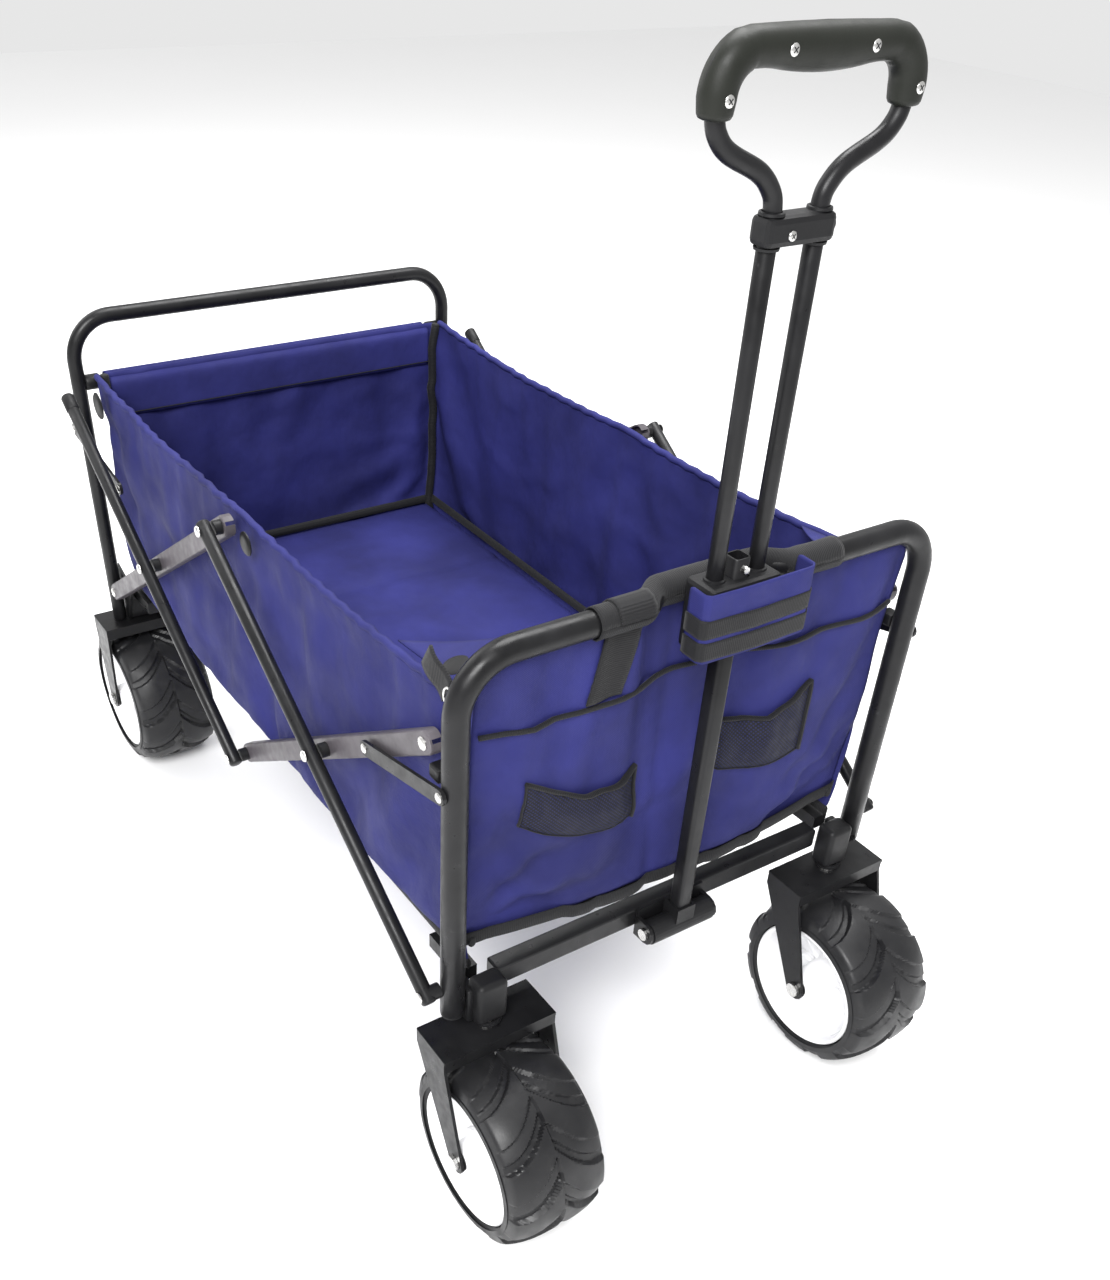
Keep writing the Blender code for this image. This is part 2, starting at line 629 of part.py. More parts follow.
def round_bar(name, start, end, sign, bores):
    """Round bar between two points, with a bore across it at each point of bores."""
    y = sign * ROUND_Y
    bar = to_mesh(path_curve(name, [(start[0], y, start[1]), (end[0], y, end[1])], ROUND_RADIUS))
    reach = ROUND_RADIUS + CUT_PAST
    rods = [((x, y - reach, z), (x, y + reach, z), STUD_RADIUS + BORE_SLACK) for x, z in bores]
    boolean(bar, cylinders(name + "_bores", rods), "DIFFERENCE")
    return bar


def link(name, leg_point, bar_point, sign):
    """Short link on a leg. A stud holds it in the leg; the other end lies beside its bar."""
    middle = -sign * sum(LINK_PLANE) / 2
    made = outline(name, bar_outline(leg_point, bar_point, LINK_WIDTH), "XZ", middle,
                   LINK_PLANE[1] - LINK_PLANE[0])
    x, z = leg_point
    stud = ((x, sign * (LEG_Y - SINK / 2), z), (x, sign * (LINK_PLANE[0] + SINK / 2), z), STUD_RADIUS)
    boolean(made, cylinders(name + "_stud", [stud]), "UNION")
    return made


def scissor_side(side, sign):
    """The bars and links of one side. Returns the joint that carries the front frame."""
    past = ROUND_RADIUS + BAR_OVERRUN
    rear_hinge = joint("fold_" + side, (LOW_REAR[0], sign * LEG_Y, LOW_REAR[1]))
    rear_flat = flat_bar("rear_flat_bar_" + side, LOW_REAR, MID_HIGH, sign,
                         [REAR_CROSSING, MID_HIGH])
    x, z = LOW_REAR
    inward = ((x, sign * (FLAT_PLANE[0] + SINK), z), (x, sign * (PLATE_PLANE[0] - GAP), z),
              STUD_RADIUS)
    boolean(rear_flat, cylinders("rear_flat_bar_" + side + "_foot", [inward]), "UNION")
    finish_piece(rear_flat, "grey_steel", rear_hinge, smooth=False)

    high_hinge = joint("mid_high_" + side, (MID_HIGH[0], sign * ROUND_Y, MID_HIGH[1]), rear_hinge)
    front_round = round_bar("front_round_bar_" + side, toward(MID_HIGH, LOW_FRONT, -past),
                            toward(LOW_FRONT, MID_HIGH, -past), sign, [MID_HIGH, FRONT_CROSSING])
    x, z = LOW_FRONT
    inward = ((x, sign * (ROUND_Y - SINK), z), (x, sign * (LEG_Y - SINK / 2), z), STUD_RADIUS)
    collar = ((x, sign * (ROUND_Y - SINK), z), (x, sign * (LEG_Y + FRONT_TUBE + GAP), z),
              SPACER_RADIUS)
    boolean(front_round, cylinders("front_round_bar_" + side + "_collar", [collar]), "UNION")
    boolean(front_round, cylinders("front_round_bar_" + side + "_foot", [inward]), "UNION")
    finish_piece(front_round, "black_paint", high_hinge)

    rear_cross = joint("rear_crossing_" + side,
                       (REAR_CROSSING[0], sign * ROUND_Y, REAR_CROSSING[1]), rear_hinge)
    free_end = (REAR_PIVOT_X, PIVOT_TOP)
    rear_round = round_bar("rear_round_bar_" + side, toward(MID_LOW, free_end, -past),
                           toward(free_end, MID_LOW, ROUND_END_INSET), sign,
                           [MID_LOW, REAR_CROSSING])
    finish_piece(rear_round, "black_paint", rear_cross)

    front_cross = joint("front_crossing_" + side,
                        (FRONT_CROSSING[0], sign * ROUND_Y, FRONT_CROSSING[1]), high_hinge)
    free_end = (FRONT_PIVOT_X, PIVOT_TOP)
    front_flat = flat_bar("front_flat_bar_" + side, MID_LOW,
                          toward(free_end, MID_LOW, FLAT_END_INSET), sign,
                          [MID_LOW, FRONT_CROSSING])
    finish_piece(front_flat, "grey_steel", front_cross, smooth=False)
    return joint("low_front_" + side, (LOW_FRONT[0], sign * ROUND_Y, LOW_FRONT[1]), high_hinge)


def links(side, sign, front_parent):
    """The two short links of one side."""
    top = (REAR_X, REAR_LINK_TOP)
    hinge = joint("rear_link_" + side + "_pivot", (top[0], sign * LEG_Y, top[1]))
    end = toward(REAR_CROSSING, (REAR_PIVOT_X, PIVOT_TOP), LINK_FROM_CROSSING)
    finish_piece(link("rear_link_" + side, top, end, sign), "black_paint", hinge, smooth=False)

    top = (FRONT_X, FRONT_LINK_TOP)
    hinge = joint("front_link_" + side + "_pivot", (top[0], sign * LEG_Y, top[1]), front_parent)
    end = toward(FRONT_CROSSING, (FRONT_PIVOT_X, PIVOT_TOP), LINK_FROM_CROSSING)
    finish_piece(link("front_link_" + side, top, end, sign), "black_paint", hinge, smooth=False)


# ---------------------------------------------------------------- wheels and forks
def fork(name, top_x, axle_x, y, finish, parent=None):
    """Bent sheet fork: plate, folded edges and two arms that run to the axle."""
    half_width = FORK_WIDTH / 2
    back, front = top_x - FORK_DEPTH / 2, top_x + FORK_DEPTH / 2
    inset = FORK_STEP
    made = box(name, (back, y - half_width + inset, FORK_TOP - FORK_SHEET),
               (front, y + half_width - inset, FORK_TOP))
    for n, edge in enumerate((back, front)):
        direction = 1 if n == 0 else -1
        x0, x1 = sorted((edge + direction * inset, edge + direction * (inset + FORK_SHEET)))
        skirt = box(name + "_skirt", (x0, y - half_width + 2 * inset, FORK_TOP - FORK_SKIRT),
                    (x1, y + half_width - 2 * inset, FORK_TOP - inset), collection=cutters)
        boolean(made, as_cutter(skirt), "UNION")
    foot = arc((axle_x, WHEEL_RADIUS), FORK_FOOT, -180 + FOOT_OPEN, -FOOT_OPEN, 6)
    arm_top = FORK_TOP - inset
    points = [(back + inset * 2, arm_top), (back + inset * 2, FORK_TOP - FORK_SKIRT)]
    points += foot
    points += [(front - inset * 2, FORK_TOP - FORK_SKIRT), (front - inset * 2, arm_top)]
    for sign in SIDES.values():
        middle = -(y + sign * (half_width - FORK_SHEET / 2))
        arm = outline(name + "_arm", points, "XZ", middle, FORK_SHEET, cutters)
        boolean(made, as_cutter(arm), "UNION")
    bore = cylinders(name + "_bore", [((axle_x, y - half_width - CUT_PAST, WHEEL_RADIUS),
                                       (axle_x, y + half_width + CUT_PAST, WHEEL_RADIUS),
                                       AXLE_RADIUS + BORE_SLACK)])
    boolean(made, bore, "DIFFERENCE")
    finish_piece(made, finish, parent, smooth=False)


def axle(name, x, y, parent=None):
    """Axle bolt with a head at each end, outside the fork's arms."""
    reach = FORK_WIDTH / 2 + GAP
    wide, head = AXLE_HEAD
    profile = [(0, reach + head), (wide, reach + head), (wide, reach), (AXLE_RADIUS, reach),
               (AXLE_RADIUS, -reach), (wide, -reach), (wide, -reach - head), (0, -reach - head)]
    bolt = turned(name, profile, (x, y, WHEEL_RADIUS), steps=SMALL_STEPS)
    finish_piece(bolt, "bright_steel", parent)


def wheel(prefix, side, x, y, parent):
    """Tyre and rim about one axle."""
    half = TYRE_WIDTH / 2
    seat = RIM_RADIUS + GAP
    outer = [(seat + rise, half - inward) for rise, inward in TYRE_WALL]
    outer += [(WHEEL_RADIUS - drop, half - inward) for drop, inward in TYRE_SHOULDER]
    profile = outer + [(r, -h) for r, h in reversed(outer)]
    tyre = turned(prefix + "_tyre_" + side, profile, (x, y, WHEEL_RADIUS), closed=True)
    finish_piece(tyre, "rubber", parent)

    bore = AXLE_RADIUS + BORE_SLACK
    edge = half - RIM_INSET
    lip = RIM_RADIUS - RIM_THICK
    hub = FORK_WIDTH / 2 - FORK_SHEET - HUB_CLEAR
    upper = [(bore, hub), (HUB_RADIUS, hub), (HUB_RADIUS + WEB_BLEND, RIM_WEB[0]),
             (lip - WEB_BLEND, RIM_WEB[1]), (lip, edge), (RIM_RADIUS, edge)]
    profile = upper + [(r, -h) for r, h in reversed(upper)]
    rim = turned(prefix + "_rim_" + side, profile, (x, y, WHEEL_RADIUS), closed=True)
    finish_piece(rim, "white_plastic", parent)


def rear_wheels():
    for side, sign in SIDES.items():
        y = sign * FORK_SIDE_Y
        fork("rear_fork_" + side, REAR_X, REAR_X, y, "black_paint")
        axle("rear_axle_" + side, REAR_X, y)
        spin = joint("rear_wheel_" + side, (REAR_X, y, WHEEL_RADIUS))
        wheel("rear", side, REAR_X, y, spin)


def front_casters(parent):
    for side, sign in SIDES.items():
        y = sign * FORK_SIDE_Y
        swivel = joint("caster_swivel_" + side, (KING_X, y, FORK_TOP), parent)
        fork("caster_fork_" + side, KING_X, FRONT_AXLE_X, y, "black_paint", swivel)
        axle("caster_axle_" + side, FRONT_AXLE_X, y, swivel)
        top = BEAM_Z[1] - KING_SHORT - GAP
        flange = BRACKET_BOTTOM - GAP
        profile = [(0, top), (KING_RADIUS, top), (KING_RADIUS, flange),
                   (KING_FLANGE, flange), (KING_FLANGE, FORK_TOP + GAP), (0, FORK_TOP + GAP)]
        pin = turned("king_pin_" + side, profile, (KING_X, y, 0), axis="Z", steps=16)
        finish_piece(pin, "bright_steel", swivel)
        spin = joint("front_wheel_" + side, (FRONT_AXLE_X, y, WHEEL_RADIUS), swivel)
        wheel("front", side, FRONT_AXLE_X, y, spin)


# ---------------------------------------------------------------- pull handle
def handle_bracket(parent):
    """Plate on the axle beam with two ears for the handle's pivot pin."""
    back = BEAM_X + BEAM_DEPTH / 2 + GAP
    ear_in = SLEEVE_HALF + GAP
    ear_out = ear_in + EAR_THICK
    low, high = HANDLE_PIVOT_Z - EAR_NOSE, BEAM_Z[1] + SINK / 2
    plate = box("handle_bracket", (back, -ear_out + GAP, low), (MOUNT_FRONT, ear_out - GAP, high))
    nose = arc((HANDLE_X, HANDLE_PIVOT_Z), EAR_NOSE, -90, 90, 6)
    points = [(back + GAP, low - GAP)] + nose + [(back + GAP, HANDLE_PIVOT_Z + EAR_NOSE)]
    for sign in SIDES.values():
        middle = -sign * (ear_in + ear_out) / 2
        ear = outline("handle_bracket_ear", points, "XZ", middle, EAR_THICK, cutters)
        boolean(plate, as_cutter(ear), "UNION")
    far = ear_out + CUT_PAST
    bore = cylinders("handle_bracket_bore", [((HANDLE_X, -far, HANDLE_PIVOT_Z),
                                              (HANDLE_X, far, HANDLE_PIVOT_Z),
                                              PIN_RADIUS + BORE_SLACK)])
    boolean(plate, bore, "DIFFERENCE")
    finish_piece(plate, "black_paint", parent, smooth=False)

    reach = ear_out + GAP
    wide, head = PIN_HEAD
    profile = [(0, reach + head), (wide, reach + head), (wide, reach), (PIN_RADIUS, reach),
               (PIN_RADIUS, -reach), (wide, -reach), (wide, -reach - head), (0, -reach - head)]
    pin = turned("handle_pivot_pin", profile, (HANDLE_X, 0, HANDLE_PIVOT_Z), steps=SMALL_STEPS)
    finish_piece(pin, "bright_steel", parent)


def handle_lower(parent):
    """Pivot sleeve and square lower tube, with the spring button near its top."""
    bore = PIN_RADIUS + BORE_SLACK
    profile = [(bore, SLEEVE_HALF), (SLEEVE_RADIUS, SLEEVE_HALF), (SLEEVE_RADIUS, -SLEEVE_HALF),
               (bore, -SLEEVE_HALF)]
    sleeve = turned("handle_pivot_sleeve", profile, (HANDLE_X, 0, HANDLE_PIVOT_Z), steps=24,
                    closed=True)
    half = COLLAR_WIDTH / 2
    floor = HANDLE_PIVOT_Z + SLEEVE_RADIUS + SOCKET_FLOOR
    collar = box("collar", (HANDLE_X - half, -half, HANDLE_PIVOT_Z + COLLAR_ROOT),
                 (HANDLE_X + half, half, COLLAR_TOP), collection=cutters)
    boolean(sleeve, as_cutter(collar), "UNION")
    slot = LOWER_TUBE / 2 + GAP
    socket = box("collar_socket", (HANDLE_X - slot, -slot, floor),
                 (HANDLE_X + slot, slot, COLLAR_TOP + CUT_PAST), collection=cutters)
    boolean(sleeve, as_cutter(socket), "DIFFERENCE")
    finish_piece(sleeve, "black_plastic", parent)

    half = LOWER_TUBE / 2
    inner = half - LOWER_WALL
    foot = floor + GAP
    tube = box("handle_lower_tube", (HANDLE_X - half, -half, foot),
               (HANDLE_X + half, half, LOWER_TUBE_TOP), bevel=TUBE_ROUND)
    core = box("lower_tube_core", (HANDLE_X - inner, -inner, foot - CUT_PAST),
               (HANDLE_X + inner, inner, LOWER_TUBE_TOP + CUT_PAST), collection=cutters)
    boolean(tube, as_cutter(core), "DIFFERENCE")
    hole = cylinders("button_hole", [((HANDLE_X + inner - BUTTON_CUT, 0, BUTTON_Z),
                                      (HANDLE_X + half + BUTTON_CUT, 0, BUTTON_Z),
                                      BUTTON_RADIUS + GAP)])
    boolean(tube, hole, "DIFFERENCE")
    finish_piece(tube, "black_paint", parent)

    press = joint("snap_button_slide", (HANDLE_X, 0, BUTTON_Z), parent)
    shape = bmesh.new()
    length = half + BUTTON_PROUD - BUTTON_ROOT
    place = Matrix.Translation((HANDLE_X + BUTTON_ROOT + length / 2, 0, BUTTON_Z))
    bmesh.ops.create_cone(shape, cap_ends=True, segments=SMALL_STEPS, radius1=BUTTON_RADIUS,
                          radius2=BUTTON_RADIUS - BUTTON_TAPER, depth=length,
                          matrix=place @ Matrix.Rotation(math.pi / 2, 4, "Y"))
    finish_piece(mesh_object("snap_button", shape), "bright_steel", press)


def handle_upper(parent):
    """Block, twin rods, bridge, loop and grip, which slide on the lower tube together."""
    half = BLOCK_DEPTH / 2
    block = box("handle_block", (HANDLE_X - half, -BLOCK_HALF_WIDTH, BLOCK_Z[0]),
                (HANDLE_X + half, BLOCK_HALF_WIDTH, BLOCK_Z[1]), bevel=BLOCK_ROUND)
    slot = LOWER_TUBE / 2 + GAP
    guide = box("block_guide", (HANDLE_X - slot, -slot, BLOCK_Z[0] - CUT_PAST),
                (HANDLE_X + slot, slot, BLOCK_Z[1] + CUT_PAST), collection=cutters)
    boolean(block, as_cutter(guide), "DIFFERENCE")
    seat = BLOCK_Z[1] - ROD_SEAT
    fit = ROD_RADIUS + GAP
    seats = [((HANDLE_X, s * ROD_Y, seat), (HANDLE_X, s * ROD_Y, BLOCK_Z[1] + CUT_PAST), fit)
             for s in SIDES.values()]
    boolean(block, cylinders("block_seats", seats), "DIFFERENCE")
    finish_piece(block, "black_plastic", parent)

    rod_top = BRIDGE_Z[0] + BRIDGE_SEAT
    loop_foot = BRIDGE_Z[1] - BRIDGE_SEAT
    for side, sign in SIDES.items():
        shape = bmesh.new()
        low, high = seat + GAP, rod_top - GAP
        place = Matrix.Translation((HANDLE_X, sign * ROD_Y, (low + high) / 2))
        bmesh.ops.create_cone(shape, cap_ends=True, segments=SMALL_STEPS, radius1=ROD_RADIUS,
                              radius2=ROD_RADIUS, depth=high - low, matrix=place)
        finish_piece(mesh_object("handle_rod_" + side, shape), "black_paint", parent)

    half = BRIDGE_DEPTH / 2
    bridge = box("handle_bridge", (HANDLE_X - half, -BRIDGE_HALF_WIDTH, BRIDGE_Z[0]),
                 (HANDLE_X + half, BRIDGE_HALF_WIDTH, BRIDGE_Z[1]), bevel=BLOCK_ROUND)
    seats = []
    for s in SIDES.values():
        y = s * ROD_Y
        seats.append(((HANDLE_X, y, BRIDGE_Z[0] - CUT_PAST), (HANDLE_X, y, rod_top), fit))
        seats.append(((HANDLE_X, y, loop_foot), (HANDLE_X, y, BRIDGE_Z[1] + CUT_PAST),
                      LOOP_RADIUS + 2 * GAP))
    boolean(bridge, cylinders("bridge_seats", seats), "DIFFERENCE")
    finish_piece(bridge, "black_plastic", parent)
    handle_loop(loop_foot + GAP, parent)


def loop_half(foot):
    """Right half of the loop's centreline as (y, z), from the bridge to the top's middle."""
    neck = [(ROD_Y, foot), (ROD_Y, BRIDGE_Z[1] + LOOP_STRAIGHT)]
    bend = arc((ROD_Y + LOOP_BEND, BRIDGE_Z[1] + LOOP_STRAIGHT), LOOP_BEND, 180, 115, 3)[1:]
    side_y = LOOP_HALF_WIDTH
    flare = arc((side_y - LOOP_FLARE, LOOP_SHOULDER), LOOP_FLARE, -58, 0, 4)
    corner = arc((side_y - LOOP_CORNER, LOOP_TOP - LOOP_CORNER), LOOP_CORNER, 0, 90, 6)
    return neck + bend + flare + corner[1:] + [(0.0, LOOP_TOP)]


def handle_loop(foot, parent):
    """Bent tube of the handle and the hollow grip that is pushed on over it."""
    half = loop_half(foot)
    whole = half + [(-y, z) for y, z in reversed(half[:-1])]
    points = [(HANDLE_X, y, z) for y, z in whole]
    loop = path_curve("handle_loop", points, LOOP_RADIUS, sides=2)
    finish_piece(to_mesh(loop), "black_paint", parent)

    cutter = to_mesh(path_curve("grip_core", points, LOOP_RADIUS + GAP, sides=2,
                                collection=cutters))
    covered = [p for p in points if p[2] >= LOOP_SHOULDER]
    grip = to_mesh(path_curve("handle_grip", covered, GRIP_RADIUS, sides=3))
    boolean(grip, as_cutter(cutter), "DIFFERENCE")
    finish_piece(grip, "black_plastic", parent)


def handle_flap(parent):
    """Fabric flap that loops round the handle block and closes on itself."""
    y0, y1 = FLAP_Y
    back = FRONT_X + FLAP_BACK
    front = HANDLE_X + BLOCK_DEPTH / 2 + FLAP_CLEAR + FLAP_THICK
    thick = FLAP_THICK
    points = [(back, y0), (front, y0), (front, y1), (back, y1), (back, y1 - thick),
              (front - thick, y1 - thick), (front - thick, y0 + thick), (back, y0 + thick)]
    low, high = FLAP_Z
    flap = outline("handle_flap", points, "XY", (low + high) / 2, high - low)
    finish_piece(flap, "blue_fabric", parent, smooth=False)


# ---------------------------------------------------------------- basket
def basket():
    """Open fabric basket: an open cage that widens to its rim, thickened inwards."""
    shape = bmesh.new()
    bmesh.ops.create_cube(shape, size=1.0)
    along = [e for e in shape.edges
             if abs(e.verts[0].co.x - e.verts[1].co.x) > 0.5]
    bmesh.ops.subdivide_edges(shape, edges=along, cuts=7, use_grid_fill=True)
    lid = [f for f in shape.faces if all(v.co.z > 0.4 for v in f.verts)]
    bmesh.ops.delete(shape, geom=lid, context="FACES")
    rear, front = REAR_X + BASKET_REAR_GAP, FRONT_X - BASKET_FRONT_GAP
    for v in shape.verts:
        share = v.co.x + 0.5
        dip = BASKET_SIDE_DIP * math.sin(math.pi * share)
        top = BASKET_SIDE_TOP - dip
        if share > 0.99:
            top = BASKET_FRONT_TOP
        upper = v.co.z > 0
        v.co.x = rear + (front - rear) * share
        v.co.y = math.copysign(BASKET_TOP_Y if upper else BASKET_BOTTOM_Y, v.co.y)
        v.co.z = top if upper else BASKET_BOTTOM
    made = mesh_object("basket", shape)
    wall = made.modifiers.new("wall", "SOLIDIFY")
    wall.thickness = BASKET_WALL
    wall.offset = -1.0
    wall.use_even_offset = True
    finish_piece(made, "blue_fabric", smooth=False)

    clear = BASKET_WALL + PAD_CLEAR
    low = BASKET_BOTTOM + BASKET_WALL + GAP
    pad = box("floor_pad", (rear + clear, -BASKET_BOTTOM_Y + clear, low),
              (front - clear, BASKET_BOTTOM_Y - clear, low + PAD_THICK), bevel=PAD_ROUND)
    finish_piece(pad, "blue_fabric")


def main():
    clear_scene()
    rear_frame()
    rear_wheels()
    basket()
    front_joint = scissor_side("right", SIDES["right"])
    scissor_side("left", SIDES["left"])
    front_frame(front_joint)
    for side, sign in SIDES.items():
        links(side, sign, front_joint)
    front_casters(front_joint)
    handle_bracket(front_joint)
    handle_flap(front_joint)
    tilt = joint("handle_tilt", (HANDLE_X, 0, HANDLE_PIVOT_Z), front_joint)
    handle_lower(tilt)
    slide = joint("handle_telescope", (HANDLE_X, 0, BLOCK_Z[0]), tilt)
    handle_upper(slide)
    bpy.context.view_layer.update()


main()
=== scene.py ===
"""Looks of the folding wagon: cloth basket, treaded tyres, tubes, trims, materials, light and camera."""

import json
import math

import bmesh
import bpy
import numpy as np
from mathutils import Matrix, Vector, noise


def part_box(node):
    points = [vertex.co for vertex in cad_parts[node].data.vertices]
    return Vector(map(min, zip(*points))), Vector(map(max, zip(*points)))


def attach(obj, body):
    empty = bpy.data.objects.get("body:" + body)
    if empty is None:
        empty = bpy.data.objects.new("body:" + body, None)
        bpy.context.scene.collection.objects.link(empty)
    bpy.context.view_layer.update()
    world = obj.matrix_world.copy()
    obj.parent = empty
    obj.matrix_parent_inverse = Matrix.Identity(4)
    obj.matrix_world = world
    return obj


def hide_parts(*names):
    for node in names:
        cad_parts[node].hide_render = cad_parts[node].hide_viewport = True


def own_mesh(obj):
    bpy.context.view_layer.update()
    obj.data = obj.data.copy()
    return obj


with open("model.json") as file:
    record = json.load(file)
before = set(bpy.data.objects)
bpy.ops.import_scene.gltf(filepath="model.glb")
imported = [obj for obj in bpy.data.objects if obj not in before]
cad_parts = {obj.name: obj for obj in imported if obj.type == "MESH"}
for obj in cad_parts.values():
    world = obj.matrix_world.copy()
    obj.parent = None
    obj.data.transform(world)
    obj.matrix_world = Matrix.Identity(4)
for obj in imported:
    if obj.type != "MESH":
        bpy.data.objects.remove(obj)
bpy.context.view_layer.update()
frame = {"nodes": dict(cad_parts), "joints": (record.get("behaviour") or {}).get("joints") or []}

# ---------------------------------------------------------------- places read from the frame
HINGE = {j["name"]: Vector(j["pos_m"]) for j in frame["joints"] if "pos_m" in j}
SIDES = {"right": -1, "left": 1}


def low(node):
    return Vector(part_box(node)[0])


def high(node):
    return Vector(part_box(node)[1])


def middle(node):
    return (low(node) + high(node)) / 2


REAR_X = middle("rear_frame_tube").x
REAR_R = (high("rear_frame_tube").x - low("rear_frame_tube").x) / 2
FRONT_X = HINGE["front_link_pivot_left"].x
FRONT_R = high("front_frame_tube").x - FRONT_X
LEG_Y = HINGE["front_link_pivot_left"].y
TOP_Z = high("front_frame_tube").z - FRONT_R
BEND = 0.045
JOG = FRONT_X - FRONT_R - low("front_frame_tube").x
JOG_INNER, JOG_OUTER = 0.045, 0.075
HANDLE_X = HINGE["handle_tilt"].x
ROUND_Y = HINGE["mid_high_left"].y
FLOOR_Z = low("floor_pad").z
PAD_TOP = high("floor_pad").z
BASKET_LOW, BASKET_HIGH = low("basket"), high("basket")
FLAT_IN, FLAT_OUT = LEG_Y - 0.002, LEG_Y + 0.008
MID_X = HINGE["mid_high_left"].x
PIVOT_TOP = HINGE["mid_high_left"].z
FLAT_END_INSET = 0.030      # free end of the front flat bars, short of their full length
ROUND_BAR = 0.0065          # radius of the round bars, and half the width of the links
PAST_PIVOT = 0.006          # a round bar's end past its pivot
LOOP_TUBE = 0.006           # radius of the handle's loop
TUBE_SIDES = 24
TUBE_END = ((1.0, 0.72), (0.7, 0.9))    # (how far out, how wide) of the rings at a tube's end


# ---------------------------------------------------------------- materials
class Look:
    """A Principled material and the nodes that vary it over the surface."""

    def __init__(self, name, colour, roughness, metallic=0.0, **sockets):
        self.made = bpy.data.materials.new(name)
        self.made.use_nodes = True
        self.tree = self.made.node_tree
        self.shader = self.tree.nodes["Principled BSDF"]
        self.shader.inputs["Base Color"].default_value = (*colour, 1.0)
        self.shader.inputs["Roughness"].default_value = roughness
        self.shader.inputs["Metallic"].default_value = metallic
        for socket, value in sockets.items():
            self.shader.inputs[socket.replace("_", " ")].default_value = value
        self.place = self.tree.nodes.new("ShaderNodeTexCoord").outputs["Object"]
        self.height = None

    def node(self, kind, **values):
        made = self.tree.nodes.new("ShaderNode" + kind)
        for key, value in values.items():
            setattr(made, key, value)
        return made

    def link(self, source, target):
        self.tree.links.new(source, target)

    def stretched(self, scale):
        """The object's coordinates times one factor for each axis."""
        mapping = self.node("Mapping")
        mapping.inputs["Scale"].default_value = scale
        self.link(self.place, mapping.inputs["Vector"])
        return mapping.outputs["Vector"]

    def noise(self, scale, detail=3.0, stretch=None, roughness=0.5):
        made = self.node("TexNoise")
        made.inputs["Scale"].default_value = scale
        made.inputs["Detail"].default_value = detail
        made.inputs["Roughness"].default_value = roughness
        self.link(self.stretched(stretch) if stretch else self.place, made.inputs["Vector"])
        return made.outputs["Fac"]

    def range(self, source, low_in, high_in, low_out, high_out):
        made = self.node("MapRange")
        for key, value in zip(("From Min", "From Max", "To Min", "To Max"),
                              (low_in, high_in, low_out, high_out)):
            made.inputs[key].default_value = value
        self.link(source, made.inputs["Value"])
        return made.outputs["Result"]

    def maths(self, operation, first, second=None):
        made = self.node("Math", operation=operation)
        for n, value in enumerate((first, second)):
            if isinstance(value, (int, float)):
                made.inputs[n].default_value = value
            elif value is not None:
                self.link(value, made.inputs[n])
        return made.outputs["Value"]

    def blend(self, factor, first, second):
        """A colour between two, each a tuple or a socket."""
        made = self.node("Mix", data_type="RGBA")
        self.link(factor, made.inputs["Factor"])
        for key, value in (("A", first), ("B", second)):
            socket = next(s for s in made.inputs if s.name == key and s.type == "RGBA")
            if isinstance(value, tuple):
                socket.default_value = (*value, 1.0)
            else:
                self.link(value, socket)
        return next(s for s in made.outputs if s.type == "RGBA")

    def colour(self, source):
        self.link(source, self.shader.inputs["Base Color"])

    def roughness(self, source):
        self.link(source, self.shader.inputs["Roughness"])

    def bump(self, height, strength, distance):
        """One more layer of relief on top of those already there."""
        made = self.node("Bump")
        made.inputs["Strength"].default_value = strength
        made.inputs["Distance"].default_value = distance
        self.link(height, made.inputs["Height"])
        if self.height:
            self.link(self.height, made.inputs["Normal"])
        self.height = made.outputs["Normal"]
        self.link(self.height, self.shader.inputs["Normal"])

    def wave(self, axis, pitch):
        """A sine along one axis of the object's coordinates, from -1 to 1."""
        split = self.node("SeparateXYZ")
        self.link(self.place, split.inputs["Vector"])
        turn = self.maths("MULTIPLY", split.outputs[axis], 2 * math.pi / pitch)
        return self.maths("SINE", turn)


def painted_steel(name, dark, light, roughness):
    """Powder-coated steel: fine orange peel, slight tone changes and a few rubbed spots."""
    look = Look(name, dark, roughness, 0.0, Specular_IOR_Level=0.22)
    tone = look.noise(14.0, 4.0)
    base = look.blend(look.range(tone, 0.35, 0.65, 0.0, 1.0), dark, light)
    rub = look.range(look.noise(46.0, 6.0, roughness=0.7), 0.66, 0.76, 0.0, 0.5)
    worn = tuple(min(1.0, c * 2.5 + 0.015) for c in light)
    look.colour(look.blend(rub, base, worn))
    look.roughness(look.range(look.noise(90.0, 3.0), 0.3, 0.7, roughness - 0.08, roughness + 0.12))
    look.bump(look.noise(900.0, 2.0), 0.10, 0.0002)
    return look.made


def bright_metal(name):
    """Zinc-plated rivets, screws and pins."""
    look = Look(name, (0.62, 0.62, 0.60), 0.25, 1.0)
    tone = look.noise(160.0, 4.0)
    look.colour(look.blend(tone, (0.48, 0.47, 0.45), (0.72, 0.72, 0.71)))
    look.roughness(look.range(look.noise(420.0, 3.0), 0.3, 0.7, 0.18, 0.40))
    look.bump(look.noise(700.0, 2.0), 0.08, 0.0001)
    return look.made


def moulded(name, dark, light, roughness, grain=1500.0, strength=0.25):
    """Moulded plastic or rubber with a fine spark-eroded grain."""
    look = Look(name, dark, roughness, Specular_IOR_Level=0.22)
    look.colour(look.blend(look.noise(24.0, 5.0), dark, light))
    look.roughness(look.range(look.noise(60.0, 4.0), 0.3, 0.7, roughness - 0.08, roughness + 0.1))
    look.bump(look.noise(grain, 2.0), strength, 0.0002)
    return look.made


